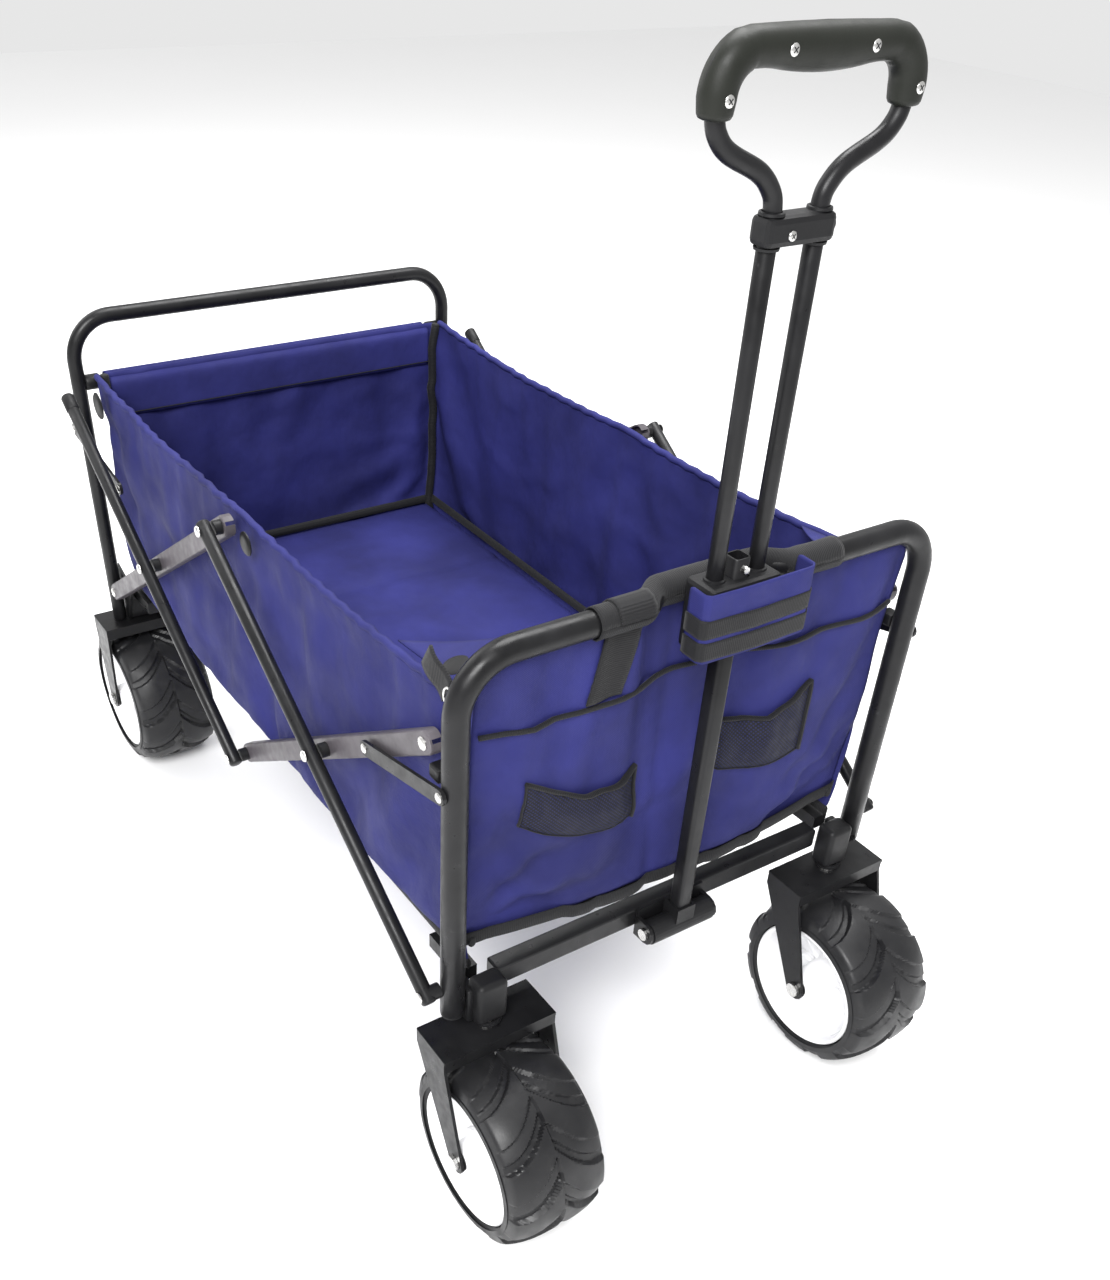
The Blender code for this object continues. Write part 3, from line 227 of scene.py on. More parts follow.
def tyre_rubber():
    """Tread rubber: grey scuffing and dust in soft patches over a near-black base."""
    look = Look("tyre_rubber", (0.007, 0.007, 0.008), 0.45, 0.0, Specular_IOR_Level=0.34)
    tone = look.blend(look.noise(18.0, 5.0), (0.005, 0.005, 0.006), (0.011, 0.011, 0.012))
    dust = look.range(look.noise(70.0, 8.0, roughness=0.75), 0.54, 0.80, 0.0, 0.35)
    look.colour(look.blend(dust, tone, (0.034, 0.033, 0.032)))
    look.roughness(look.range(look.noise(45.0, 4.0), 0.3, 0.7, 0.32, 0.58))
    look.bump(look.noise(800.0, 4.0), 0.30, 0.0003)
    return look.made


def rim_plastic():
    """White moulded rim with faint flow marks."""
    look = Look("white_rim", (0.80, 0.80, 0.81), 0.30, 0.0, Coat_Weight=0.3)
    tone = look.noise(12.0, 3.0)
    scuff = look.range(look.noise(85.0, 8.0, roughness=0.7), 0.60, 0.80, 0.0, 0.30)
    base = look.blend(tone, (0.77, 0.77, 0.78), (0.86, 0.86, 0.87))
    look.colour(look.blend(scuff, base, (0.60, 0.60, 0.59)))
    look.roughness(look.range(look.noise(50.0, 3.0), 0.3, 0.7, 0.24, 0.42))
    look.bump(look.noise(500.0, 2.0), 0.05, 0.0002)
    return look.made


def woven(name, dark, light, axes, pitch=0.0016, crumple=0.6):
    """Coated woven cloth in the plane of two axes, with soft creases and uneven dye."""
    look = Look(name, dark, 0.72, 0.0, Specular_IOR_Level=0.18)
    weft = look.wave(axes[0], pitch)
    warp = look.wave(axes[1], pitch)
    weave = look.maths("MULTIPLY", weft, warp)
    tone = look.range(look.noise(7.0, 5.0, roughness=0.6), 0.36, 0.66, 0.0, 1.0)
    base = look.blend(tone, dark, light)
    thread = look.range(weave, -1.0, 1.0, 0.0, 0.22)
    look.colour(look.blend(thread, base, tuple(c * 0.55 for c in dark)))
    look.roughness(look.range(look.noise(30.0, 4.0), 0.3, 0.7, 0.66, 0.86))
    look.bump(look.noise(11.0, 4.0, stretch=(1.0, 1.0, 0.7)), crumple, 0.010)
    look.bump(look.noise(38.0, 5.0, roughness=0.55), crumple * 0.55, 0.0030)
    look.bump(weave, 0.35, 0.0002)
    return look.made


def ribbed(name, dark, light, axis, pitch=0.0018):
    """Black tape: ribs along one axis."""
    look = Look(name, dark, 0.72, 0.0, Specular_IOR_Level=0.25, Sheen_Weight=0.05)
    rib = look.wave(axis, pitch)
    fuzz = look.noise(900.0, 3.0)
    look.colour(look.blend(look.range(fuzz, 0.3, 0.7, 0.0, 1.0), dark, light))
    look.roughness(look.range(fuzz, 0.3, 0.7, 0.62, 0.85))
    look.bump(rib, 0.4, 0.0003)
    look.bump(fuzz, 0.4, 0.0003)
    return look.made


def netting(name, axes, pitch=0.0034):
    """Pocket mesh: black net with small round openings on dark blue."""
    look = Look(name, (0.012, 0.012, 0.016), 0.7, 0.0, Specular_IOR_Level=0.2)
    first = look.wave(axes[0], pitch)
    second = look.wave(axes[1], pitch)
    hole = look.range(look.maths("MULTIPLY", first, second), 0.05, 0.55, 0.0, 1.0)
    look.colour(look.blend(hole, (0.006, 0.006, 0.008), (0.012, 0.014, 0.055)))
    look.roughness(look.range(look.noise(80.0), 0.3, 0.7, 0.6, 0.8))
    look.bump(hole, 0.6, -0.0006)
    return look.made


BLUE_DARK, BLUE_LIGHT = (0.0135, 0.0145, 0.078), (0.0235, 0.0255, 0.140)
BLACK = painted_steel("black_paint", (0.0050, 0.0050, 0.0055), (0.010, 0.010, 0.011), 0.34)
GREY = painted_steel("grey_steel", (0.052, 0.047, 0.053), (0.078, 0.070, 0.079), 0.40)
BRIGHT = bright_metal("bright_steel")
PLASTIC = moulded("black_plastic", (0.005, 0.005, 0.0055), (0.010, 0.010, 0.011), 0.46)
GRIP = moulded("soft_grip", (0.007, 0.008, 0.006), (0.013, 0.014, 0.011), 0.48, 900.0, 0.35)
TYRE = tyre_rubber()
RIM = rim_plastic()
BLUE = {
    "side": woven("blue_side", BLUE_DARK, BLUE_LIGHT, ("X", "Z")),
    "end": woven("blue_end", BLUE_DARK, BLUE_LIGHT, ("Y", "Z")),
    "floor": woven("blue_floor", BLUE_DARK, BLUE_LIGHT, ("X", "Y"), crumple=0.3),
}
TAPE = {a: ribbed("black_tape_" + a, (0.003, 0.003, 0.004), (0.010, 0.010, 0.011), a)
        for a in "XYZ"}
NET = netting("pocket_net", ("Y", "Z"))


# ---------------------------------------------------------------- mesh helpers
def add_object(name, data, material, body):
    made = bpy.data.objects.new(name, data)
    bpy.context.scene.collection.objects.link(made)
    data.materials.append(material)
    if body:
        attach(made, body)
    return made


def clamp(value):
    """The value, held between 0 and 1."""
    return min(1.0, max(0.0, value))


def stand_in(piece, node):
    """Hide the CAD node that the piece stands in for."""
    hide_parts(node)


def skin(rings, closed=False):
    """A mesh of rings of points, each joined to the next, with flat ends unless it is closed."""
    shape = bmesh.new()
    made = [[shape.verts.new(p) for p in ring] for ring in rings]
    count = len(rings[0])
    for a, b in zip(made, made[1:] + (made[:1] if closed else [])):
        for n in range(count):
            m = (n + 1) % count
            shape.faces.new((a[n], a[m], b[m], b[n]))
    if not closed:
        shape.faces.new(made[0][::-1])
        shape.faces.new(made[-1])
    return shape


def from_bmesh(name, shape, material, body, smooth=35):
    bmesh.ops.recalc_face_normals(shape, faces=shape.faces)
    data = bpy.data.meshes.new(name)
    shape.to_mesh(data)
    shape.free()
    data.shade_smooth()
    data.set_sharp_from_angle(angle=math.radians(smooth))
    return add_object(name, data, material, body)


def grid(name, rows, material, body=None, closed=False, smooth=60):
    """A sheet from rows of points, all of one length."""
    shape = bmesh.new()
    made = [[shape.verts.new(p) for p in row] for row in rows]
    across = len(rows[0])
    for a, b in zip(made, made[1:] + (made[:1] if closed else [])):
        for n in range(across - 1):
            shape.faces.new((a[n], a[n + 1], b[n + 1], b[n]))
    data = bpy.data.meshes.new(name)
    shape.to_mesh(data)
    shape.free()
    data.shade_smooth()
    data.set_sharp_from_angle(angle=math.radians(smooth))
    return add_object(name, data, material, body)


def tube(name, points, radius, material, body, radii=None, flat=(1.0, 1.0), up=(0, 0, 1),
         sides=TUBE_SIDES, cap=0.25):
    """A round or oval tube along points, as a closed mesh with softly rounded ends."""
    points = [Vector(p) for p in points]
    radii = list(radii) if radii else [radius] * len(points)
    steps = [b - a for a, b in zip(points, points[1:])]
    heading = [steps[0], *(a.normalized() + b.normalized() for a, b in zip(steps, steps[1:])),
               steps[-1]]
    rings = []
    side = None
    for n, (point, way) in enumerate(zip(points, heading)):
        way = way.normalized()
        if side is None:
            side = way.cross(Vector(up))
            if side.length < 0.01:
                side = way.cross(Vector((1, 0, 0)))
        side = (side - way * side.dot(way)).normalized()
        over = side.cross(way).normalized()
        stations = [(0.0, 1.0)]
        if n == 0:
            stations = [(-cap * radii[n] * out, share) for out, share in TUBE_END] + stations
        elif n == len(points) - 1:
            stations += [(cap * radii[n] * out, share) for out, share in TUBE_END[::-1]]
        for along, share in stations:
            ring = []
            for k in range(sides):
                angle = 2 * math.pi * k / sides
                offset = side * math.cos(angle) * flat[0] + over * math.sin(angle) * flat[1]
                ring.append(point + way * along + offset * radii[n] * share)
            rings.append(ring)
    return from_bmesh(name, skin(rings), material, body, 50)


def lathe(name, profile, centre, axis, material, body, steps=64):
    """A closed solid turned from a closed ring of (radius, height) points."""
    way = Vector(axis).normalized()
    side = way.orthogonal().normalized()
    over = way.cross(side)
    shape = bmesh.new()
    rings = []
    for k in range(steps):
        angle = 2 * math.pi * k / steps
        out = side * math.cos(angle) + over * math.sin(angle)
        rings.append([shape.verts.new(Vector(centre) + out * r + way * h) for r, h in profile])
    count = len(profile)
    for k in range(steps):
        a, b = rings[k], rings[(k + 1) % steps]
        for n in range(count):
            m = (n + 1) % count
            if profile[n][0] < 1e-6 and profile[m][0] < 1e-6:
                continue
            shape.faces.new((a[n], a[m], b[m], b[n]))
    bmesh.ops.remove_doubles(shape, verts=shape.verts, dist=1e-7)
    return from_bmesh(name, shape, material, body, 40)


def rounded_box(name, low_corner, high_corner, bevel, material, body, segments=3):
    shape = bmesh.new()
    a, b = Vector(low_corner), Vector(high_corner)
    bmesh.ops.create_cube(shape, size=1.0)
    bmesh.ops.scale(shape, vec=b - a, verts=shape.verts)
    bmesh.ops.translate(shape, vec=(a + b) / 2, verts=shape.verts)
    bmesh.ops.bevel(shape, geom=shape.edges[:], offset=bevel, segments=segments, profile=0.5,
                    affect="EDGES")
    return from_bmesh(name, shape, material, body, 40)


def button(name, centre, axis, radius, height, material, body):
    """A domed rivet or screw head standing on centre."""
    profile = [(0.0, 0.0), (radius, 0.0), (radius, height * 0.35), (radius * 0.86, height * 0.75),
               (radius * 0.5, height * 0.97), (0.0, height)]
    return lathe(name, profile, centre, axis, material, body, 24)


def screw_head(name, centre, axis, radius, height, body):
    """A cross-recessed screw head: a bright dome with the sunk cross drawn as black plastic bars,
    painted shade of the recess.
    """
    head = button(name, centre, axis, radius, height, BRIGHT, body)
    way = Vector(axis).normalized()
    side = way.orthogonal().normalized()
    # the cross is black plastic bars: painted shade of the recess in the bright head
    for n in range(2):
        turned = (Matrix.Rotation(math.pi / 2 * n, 3, way) @ side) * radius * 0.55
        top = Vector(centre) + way * height * 0.86
        tube(f"{name}_recess_shade_{n}", [top - turned, top + turned], radius * 0.13, PLASTIC, body,
             sides=8)
    return head


def arc(centre, radius, start, end, steps):
    """(u, v) points on an arc, angles in degrees."""
    return [(centre[0] + radius * math.cos(math.radians(start + (end - start) * n / steps)),
             centre[1] + radius * math.sin(math.radians(start + (end - start) * n / steps)))
            for n in range(steps + 1)]


def smooth_path(points, steps=8):
    """A Catmull-Rom curve through points."""
    pts = [Vector(p) for p in points]
    pts = [pts[0] * 2 - pts[1]] + pts + [pts[-1] * 2 - pts[-2]]
    found = []
    for a, b, c, d in zip(pts, pts[1:], pts[2:], pts[3:]):
        for n in range(steps):
            t = n / steps
            found.append(0.5 * (2 * b + (c - a) * t + (2 * a - 5 * b + 4 * c - d) * t * t
                                + (3 * b - a - 3 * c + d) * t ** 3))
    return found + [pts[-2]]


def set_finish(material, *nodes):
    """Give CAD nodes that are shown as they are a finished material."""
    for node in nodes:
        thing = frame["nodes"][node]
        thing.data.materials.clear()
        thing.data.materials.append(material)


# ---------------------------------------------------------------- steel frame
def frame_path(x, foot, jog):
    """Axis of a U-shaped frame tube; jog is how far its top steps back in the middle."""
    corner_y, corner_z = LEG_Y - BEND, TOP_Z - BEND
    half = [(x, -LEG_Y, foot), (x, -LEG_Y, (foot + corner_z) / 2)]
    half += [(x, y, z) for y, z in arc((-corner_y, corner_z), BEND, 180, 90, 14)]
    if jog:
        for n in range(11):
            share = n / 10
            y = -JOG_OUTER + (JOG_OUTER - JOG_INNER) * share
            half.append((x - jog * (1 - math.cos(math.pi * share)) / 2, y, TOP_Z))
    return half + [(px, -y, z) for px, y, z in reversed(half)]


def end_frames():
    for node, x, radius, jog, body in (
        ("rear_frame_tube", REAR_X, REAR_R, 0.0, "rear_frame"),
        ("front_frame_tube", FRONT_X, FRONT_R, JOG, "front_frame"),
    ):
        made = tube(node + "_skin", frame_path(x, low(node).z + 0.001, jog), radius, BLACK, body)
        stand_in(made, node)
    rod = middle("rear_hem_rod")
    reach = high("rear_hem_rod").y - 0.001
    made = tube("rear_hem_rod_skin", [(rod.x, -reach, rod.z), (rod.x, reach, rod.z)],
                high("rear_hem_rod").z - rod.z + 0.0002, BLACK, "rear_frame")
    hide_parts("rear_hem_rod")
    for side, sign in SIDES.items():
        foot = Vector((FRONT_X, sign * LEG_Y, low("front_frame_tube").z))
        lathe("front_leg_plug_" + side,
              [(0, -0.0015), (FRONT_R * 0.96, -0.0015), (FRONT_R * 0.96, 0.0008), (0, 0.0008)],
              foot, (0, 0, 1), PLASTIC, "front_frame", 32)


def rivet(name, x, y, z, radius, height, body):
    """A rivet's head on the outer side of a bar, leg or link."""
    button(name, (x, y, z), (0, math.copysign(1, y), 0), radius, height, BRIGHT, body)


def channel_bar(name, start, end, sign, holes):
    """Folded flat bar: a channel seen from its closed face, with a spacer and a rivet at its holes."""
    way = (end - start).normalized()
    over = Vector((-way.z, 0, way.x))
    half, depth, wall, fold = 0.0098, FLAT_OUT - FLAT_IN, 0.0016, 0.0022
    turns = (0.5, 1.0, math.pi / 2)
    section = [(-half, 0.0), (-half, depth - fold)]
    section += [(-half + fold * (1 - math.cos(a)), depth - fold + fold * math.sin(a)) for a in turns]
    section += [(half - fold * (1 - math.cos(a)), depth - fold + fold * math.sin(a))
                for a in turns[::-1]]
    section += [(half, depth - fold), (half, 0.0), (half - wall, 0.0), (half - wall, depth - wall),
                (-half + wall, depth - wall), (-half + wall, 0.0)]
    length = (end - start).length
    quarter = [math.pi / 2 * n / 6 for n in range(7)]
    stations = [(-half * math.cos(a), math.sin(a)) for a in quarter]
    stations += [(length * n / 8, 1.0) for n in range(1, 8)]
    stations += [(length + half * math.sin(a), math.cos(a)) for a in quarter]
    rings = []
    for along, share in stations:
        places = [start + way * along + over * v * max(share, 0.2) for v, w in section]
        rings.append([(p.x, sign * (FLAT_IN + w), p.z) for p, (v, w) in zip(places, section)])
    stand_in(from_bmesh(name + "_channel", skin(rings), GREY, name, 30), name)
    seat, spacer = 0.0068, 0.0066
    gap = ROUND_Y - seat - FLAT_OUT
    for n, point in enumerate(holes):
        lathe(f"{name}_spacer_{n}", [(0, 0), (spacer, 0), (spacer, gap), (0, gap)],
              (point.x, sign * (FLAT_OUT - 0.0005), point.z), (0, sign, 0), PLASTIC, name, 28)
        rivet(f"{name}_rivet_{n}", point.x, sign * (ROUND_Y + seat), point.z, 0.0052, 0.0022, name)


def round_bar(name, start, end, y, past_end):
    """Round bar between two pivots, at y; gives its far end and its direction."""
    a, b = Vector((start.x, y, start.z)), Vector((end.x, y, end.z))
    way = (b - a).normalized()
    a, b = a - way * PAST_PIVOT, b + way * past_end
    stand_in(tube(name + "_skin", [a, b], ROUND_BAR, BLACK, name), name)
    return b, way


def scissor_bars():
    for side, sign in SIDES.items():
        fold = HINGE["fold" if side == "right" else "fold_left"]
        mid_high = HINGE["mid_high_" + side]
        rear_cross = HINGE["rear_crossing_" + side]
        front_cross = HINGE["front_crossing_" + side]
        low_front = front_cross * 2 - mid_high
        mid_low = Vector((mid_high.x, mid_high.y, fold.z))
        rear_flat, front_flat, rear_round, front_round = (
            f"{bar}_bar_{side}" for bar in ("rear_flat", "front_flat", "rear_round", "front_round"))

        channel_bar(rear_flat, fold, mid_high, sign, [rear_cross, mid_high])
        full_end = front_cross * 2 - mid_low
        way = (full_end - mid_low).normalized()
        free_end = full_end - way * FLAT_END_INSET
        channel_bar(front_flat, mid_low, free_end, sign, [mid_low, front_cross])
        bolt = free_end - way * 0.003
        rivet("front_flat_bar_bolt_" + side, bolt.x, sign * FLAT_OUT, bolt.z, 0.0055, 0.0022,
              front_flat)
        rivet("rear_pivot_rivet_" + side, fold.x, sign * FLAT_OUT, fold.z, 0.0055, 0.0022, rear_flat)

        round_bar(front_round, mid_high, low_front, sign * ROUND_Y, PAST_PIVOT)
        gap, spacer = ROUND_Y - LEG_Y - FRONT_R, 0.0068
        lathe("low_front_spacer_" + side, [(0, 0), (spacer, 0), (spacer, gap), (0, gap)],
              (low_front.x, sign * (LEG_Y + FRONT_R), low_front.z), (0, sign, 0), PLASTIC,
              front_round, 28)
        rivet("low_front_rivet_" + side, low_front.x, sign * (ROUND_Y + 0.0062), low_front.z, 0.0048,
              0.0018, front_round)
        end, way = round_bar(rear_round, mid_low, rear_cross * 2 - mid_low, sign * ROUND_Y, -0.012)
        tip = end + way * 0.0005
        tube("rear_round_bar_cap_" + side, [tip - way * 0.016, tip], 0.0071, PLASTIC, rear_round)
        link_rivets(side, sign)


def link_rivets(side, sign):
    """Rivet heads at both ends of the short links."""
    for end in ("rear", "front"):
        node = f"{end}_link_{side}"
        pivot = HINGE[f"{end}_link_pivot_{side}"]
        a, b = low(node), high(node)
        other_x = b.x - ROUND_BAR if end == "rear" else a.x + ROUND_BAR
        face = max(abs(a.y), abs(b.y))
        for n, (x, z) in enumerate(((pivot.x, pivot.z), (other_x, a.z + ROUND_BAR))):
            rivet(f"{node}_rivet_{n}", x, sign * face, z, 0.0042, 0.0016, node)


def caster_brackets():
    """Moulded housing round each king pin, with the web that ties it to the leg."""
    for side, sign in SIDES.items():
        node = "caster_bracket_" + side
        a, b = low(node), high(node)
        king = HINGE["caster_swivel_" + side]
        inner = min(abs(a.y), abs(b.y)) + 0.0003
        outer = 2 * abs(king.y) - inner
        y0, y1 = sorted((sign * inner, sign * outer))
        stand_in(rounded_box(node + "_housing", (king.x - 0.0115, y0, a.z + 0.003),
                             (king.x + 0.0105, y1, b.z - 0.0005), 0.0055, PLASTIC, "front_frame", 5),
                 node)
        y0, y1 = sorted((sign * (outer - 0.006), sign * (LEG_Y - FRONT_R - 0.0005)))
        web = rounded_box(node + "_web", (a.x + 0.001, y0, a.z + 0.002),
                          (king.x - 0.001, y1, b.z - 0.010), 0.0025, PLASTIC, "front_frame")
        bore, rim_radius, height = 0.0105, 0.0124, 0.0045
        lathe(node + "_ring",
              [(bore, 0.0), (rim_radius, 0.0), (rim_radius, height), (bore, height)],
              (king.x, king.y, a.z + 0.0005), (0, 0, 1), BLACK, "front_frame", 40)


# ---------------------------------------------------------------- wheels
def tread_height(share, around):
    """Height of the tread at a place across (-1 to 1) and around (0 to 1) the tyre."""
    lugs, edge, depth = 10, 0.022, 0.0048
    across = abs(share)
    hook = 0.60 * (1 - across) ** 2.0
    phase = (around * lugs + (0.5 if share < 0 else 0.0) + hook) % 1.0

    def step(width):
        return clamp(phase / edge) * clamp((width - phase) / edge)

    fade = clamp((1.05 - across) / 0.08)
    return depth * max(step(0.60), 0.45 * step(0.86)) * fade


def tyre(node, centre, body):
    """Tyre with chevron lugs: a crowned section whose tread height follows the pattern."""
    half = (high(node).y - low(node).y) / 2
    outer = (high(node).z - low(node).z) / 2 - 0.0046
    seat, drop = 0.0655, 0.0075
    shoulder = outer - drop
    wall = [(shoulder - 0.004, half - 0.0012), (shoulder - 0.009, half),
            (seat + 0.007, half - 0.0004), (seat + 0.0025, half - 0.0028),
            (seat + 0.0006, half - 0.0050)]
    around, across = 480, 48
    rows = []
    for n in range(around):
        angle = 2 * math.pi * n / around
        row = []
        for k in range(across + 1):
            share = -1 + 2 * k / across
            crown = outer - drop * abs(share) ** 3.2
            row.append((crown + tread_height(share, n / around), share * (half - 0.0035)))
        full = [(r, -h) for r, h in reversed(wall)] + row + wall
        rows.append([(centre.x + r * math.sin(angle), centre.y + h, centre.z + r * math.cos(angle))
                     for r, h in full])
    stand_in(grid(node + "_tread", rows, TYRE, body, closed=True, smooth=32), node)


def rim(node, centre, body):
    """Deep-dished rim: rolled lips, barrel, web with ribs, and a hub with a bush in each face."""
    edge, seat, bore, ribs = 0.0462, 0.0650, 0.0046, 10
    upper = [(bore, 0.0505), (0.0125, 0.0505), (0.0145, 0.049), (0.0150, 0.047), (0.0178, 0.012),
             (0.0215, 0.0075), (0.050, 0.0085), (0.0560, 0.0115), (0.0585, 0.017),
             (0.0602, edge - 0.006), (0.0606, edge - 0.001), (0.0618, edge + 0.0008),
             (0.0636, edge + 0.0008), (seat, edge - 0.0006)]
    profile = upper + [(r, -h) for r, h in reversed(upper)]
    stand_in(lathe(node + "_dish", profile, centre, (0, 1, 0), RIM, body, 96), node)
    for face in (-1, 1):
        foot = centre + Vector((0, face * 0.0095, 0))
        for n in range(ribs):
            angle = 2 * math.pi * (n + 0.5) / ribs
            out = Vector((math.sin(angle), 0, math.cos(angle)))
            tube(f"{node}_rib_{face + 1}_{n}", [foot + out * 0.018, foot + out * 0.0575], 0.0021,
                 RIM, body, up=(0, 1, 0), flat=(1.0, 2.4), sides=10)
        bush = [(bore, 0.0), (0.0105, 0.0), (0.0105, 0.0012), (bore, 0.0012)]
        lathe(f"{node}_bush_{face + 1}", bush, centre + Vector((0, face * 0.0503, 0)), (0, face, 0),
              PLASTIC, body, 32)


def wheels():
    for side in SIDES:
        for end in ("rear", "front"):
            centre, body = middle(f"{end}_tyre_{side}"), f"{end}_wheel_{side}"
            tyre(f"{end}_tyre_{side}", centre, body)
            rim(f"{end}_rim_{side}", centre, body)


# ---------------------------------------------------------------- pull handle
def handle():
    body = "handle_slider"
    for side in SIDES:
        node = "handle_rod_" + side
        y = middle(node).y
        made = tube(node + "_skin", [(HANDLE_X, y, low(node).z), (HANDLE_X, y, high(node).z)],
                    high(node).y - y, BLACK, body)
        stand_in(made, node)
    loop_tube_and_grip(body)
    lower_tube()

    front, screw_z = high("handle_block").x, low("handle_block").z + 0.040
    for n, y in enumerate((-0.024, 0.024)):
        screw_head(f"block_screw_{n}", (front, y, screw_z), (1, 0, 0), 0.0040, 0.0016, body)
    bridge, bridge_z = high("handle_bridge"), middle("handle_bridge").z
    screw_head("bridge_screw", (bridge.x, -0.009, bridge_z - 0.002), (1, 0, 0), 0.0032, 0.0014, body)
    button("bridge_knob", (HANDLE_X, bridge.y, bridge_z), (0, 1, 0), 0.0060, 0.004, PLASTIC, body)
    collars(body)


def lower_tube():
    """Square lower tube with well-rounded corners and an open top."""
    node = "handle_lower_tube"
    a, b = low(node), high(node)
    half, wall, corner = (b.x - a.x) / 2, 0.0016, 0.0040
    x = (a.x + b.x) / 2

    def ring(reach, round_by, z):
        points = []
        for n, (sx, sy) in enumerate(((1, 1), (-1, 1), (-1, -1), (1, -1))):
            centre = (sx * (reach - round_by), sy * (reach - round_by))
            for u, v in arc(centre, round_by, 90 * n, 90 * n + 90, 5):
                points.append((x + u, v, z))
        return points

    rings = [ring(half, corner, a.z), ring(half, corner, b.z - 0.0006),
             ring(half - 0.0005, corner - 0.0005, b.z), ring(half - wall, corner - wall, b.z),
             ring(half - wall, corner - wall, a.z)]
    stand_in(from_bmesh(node + "_skin", skin(rings, closed=True), BLACK, "handle_lower", 40), node)


def collars(body):
    """Raised rings where the rods and the loop leave the block and the bridge."""
    ring = [(0.0066, 0.0), (0.0084, 0.0), (0.0081, 0.0016), (0.0066, 0.0020)]
    places = ((high("handle_block").z, 1), (low("handle_bridge").z, -1), (high("handle_bridge").z, 1))
    for side in SIDES:
        y = middle("handle_rod_" + side).y
        for n, (z, way) in enumerate(places):
            lathe(f"handle_collar_{side}_{n}", ring, (HANDLE_X, y, z), (0, 0, way), PLASTIC, body,
                  32)


def loop_tube_and_grip(body):
    """Bent loop from the rods up to the top bar, and the moulded grip round its upper part."""
    bend = 0.024
    top = high("handle_loop").z - LOOP_TUBE
    wide = high("handle_loop").y - LOOP_TUBE
    shoulder = low("handle_grip").z
    neck = middle("handle_rod_left").y
    bridge_top = high("handle_bridge").z
    half = [(neck, low("handle_loop").z), (neck, bridge_top + 0.004),
            (neck + 0.0035, bridge_top + 0.013), (neck + 0.0155, bridge_top + 0.024),
            (wide - 0.014, shoulder - 0.020), (wide - 0.0035, shoulder - 0.010), (wide, shoulder)]
    corner = [Vector((HANDLE_X, y, z))
              for y, z in arc((wide - bend, top - bend), bend, 0, 90, 12)]
    path = smooth_path([(HANDLE_X, y, z) for y, z in half], 6) + corner
    path += [Vector((HANDLE_X, -p.y, p.z)) for p in reversed(path)]
    stand_in(tube("handle_loop_skin", path, LOOP_TUBE, BLACK, body, up=(1, 0, 0)), "handle_loop")

    start = [Vector((HANDLE_X, wide, shoulder)), Vector((HANDLE_X, wide, shoulder + 0.001))]
    arm = start + corner
    across, inner = 14, wide - bend
    over = arm + [Vector((HANDLE_X, inner - 2 * inner * n / across, top)) for n in range(1, across)]
    over += [Vector((HANDLE_X, -p.y, p.z)) for p in reversed(arm[:14])]
    radii = []
    for p in over:
        swell = max(0.0, 1 - (abs(p.y) / 0.046) ** 2)
        edge = min(1.0, (p.z - shoulder) / 0.006)
        radii.append(0.0104 + 0.0010 * edge - 0.0008 * (p.z > top - 0.001) + 0.0006 * swell)
    grip = tube("handle_grip_skin", over, 0.0, GRIP, body, radii=radii, up=(1, 0, 0), sides=32)
    stand_in(grip, "handle_grip")
    grip_finger_bulge(grip, top)
    for n, (y, z, lift) in enumerate(((-0.032, top - 0.001, 0.0103), (0.032, top - 0.001, 0.0103),
                                      (-wide, shoulder + 0.008, 0.0110),
                                      (wide, shoulder + 0.008, 0.0110))):
        screw_head(f"grip_screw_{n}", (HANDLE_X + lift, y, z), (1, 0, 0), 0.0034, 0.0014, body)
    heart = Vector((HANDLE_X, 0, shoulder - 0.02))
    tube("grip_seam", [p + (p - heart).normalized() * (r - 0.0003) for p, r in zip(over, radii)],
         0.0005, PLASTIC, body, sides=8)


def grip_finger_bulge(grip, top):
    """Swell the underside of the grip's top bar, fullest at the middle."""
    for v in grip.data.vertices:
        share = max(0.0, 1 - (abs(v.co.y) / 0.040) ** 2)
        if v.co.z < top:
            v.co.z -= 0.0030 * share * min(1.0, (top - v.co.z) / 0.008)
    grip.data.update()


# ---------------------------------------------------------------- cloth
def settle(sheet, pins, slack, frames, cap):
    """Let a sheet hang as cloth from its pinned vertices, then keep the result."""
    group = sheet.vertex_groups.new(name="pins")
    for index, weight in pins.items():
        group.add([index], weight, "REPLACE")
    start = np.array([v.co for v in sheet.data.vertices])
    step = sheet.modifiers.new("cloth", "CLOTH")
    cloth = step.settings
    cloth.quality = 7
    cloth.mass = 0.35
    cloth.tension_stiffness = 35
    cloth.compression_stiffness = 30
    cloth.shear_stiffness = 12
    cloth.bending_stiffness = 3.5
    cloth.tension_damping = 12
    cloth.compression_damping = 12
    cloth.air_damping = 3
    cloth.vertex_group_mass = "pins"
    cloth.shrink_min = -slack
    step.collision_settings.use_self_collision = False
    step.collision_settings.use_collision = False
    step.point_cache.frame_start = 1
    step.point_cache.frame_end = frames
    scene = bpy.context.scene
    for number in range(1, frames + 1):
        scene.frame_set(number)
    held = sheet.evaluated_get(bpy.context.evaluated_depsgraph_get())
    moved = np.array([v.co for v in held.data.vertices])
    sheet.modifiers.remove(step)
    scene.frame_set(1)
    shift = moved - start
    size = np.linalg.norm(shift, axis=1, keepdims=True)
    shift *= np.minimum(1.0, cap / np.maximum(size, 1e-9))
    sheet.data.vertices.foreach_set("co", (start + shift).ravel())
    sheet.data.update()


def thicken(sheet, thickness, levels=1):
    """Cloth thickness and a smooth surface."""
    if levels:
        smooth = sheet.modifiers.new("smooth", "SUBSURF")
        smooth.levels = levels
        smooth.render_levels = levels
    wall = sheet.modifiers.new("thickness", "SOLIDIFY")
    wall.thickness = thickness
    wall.offset = 0.0
    wall.use_rim = True


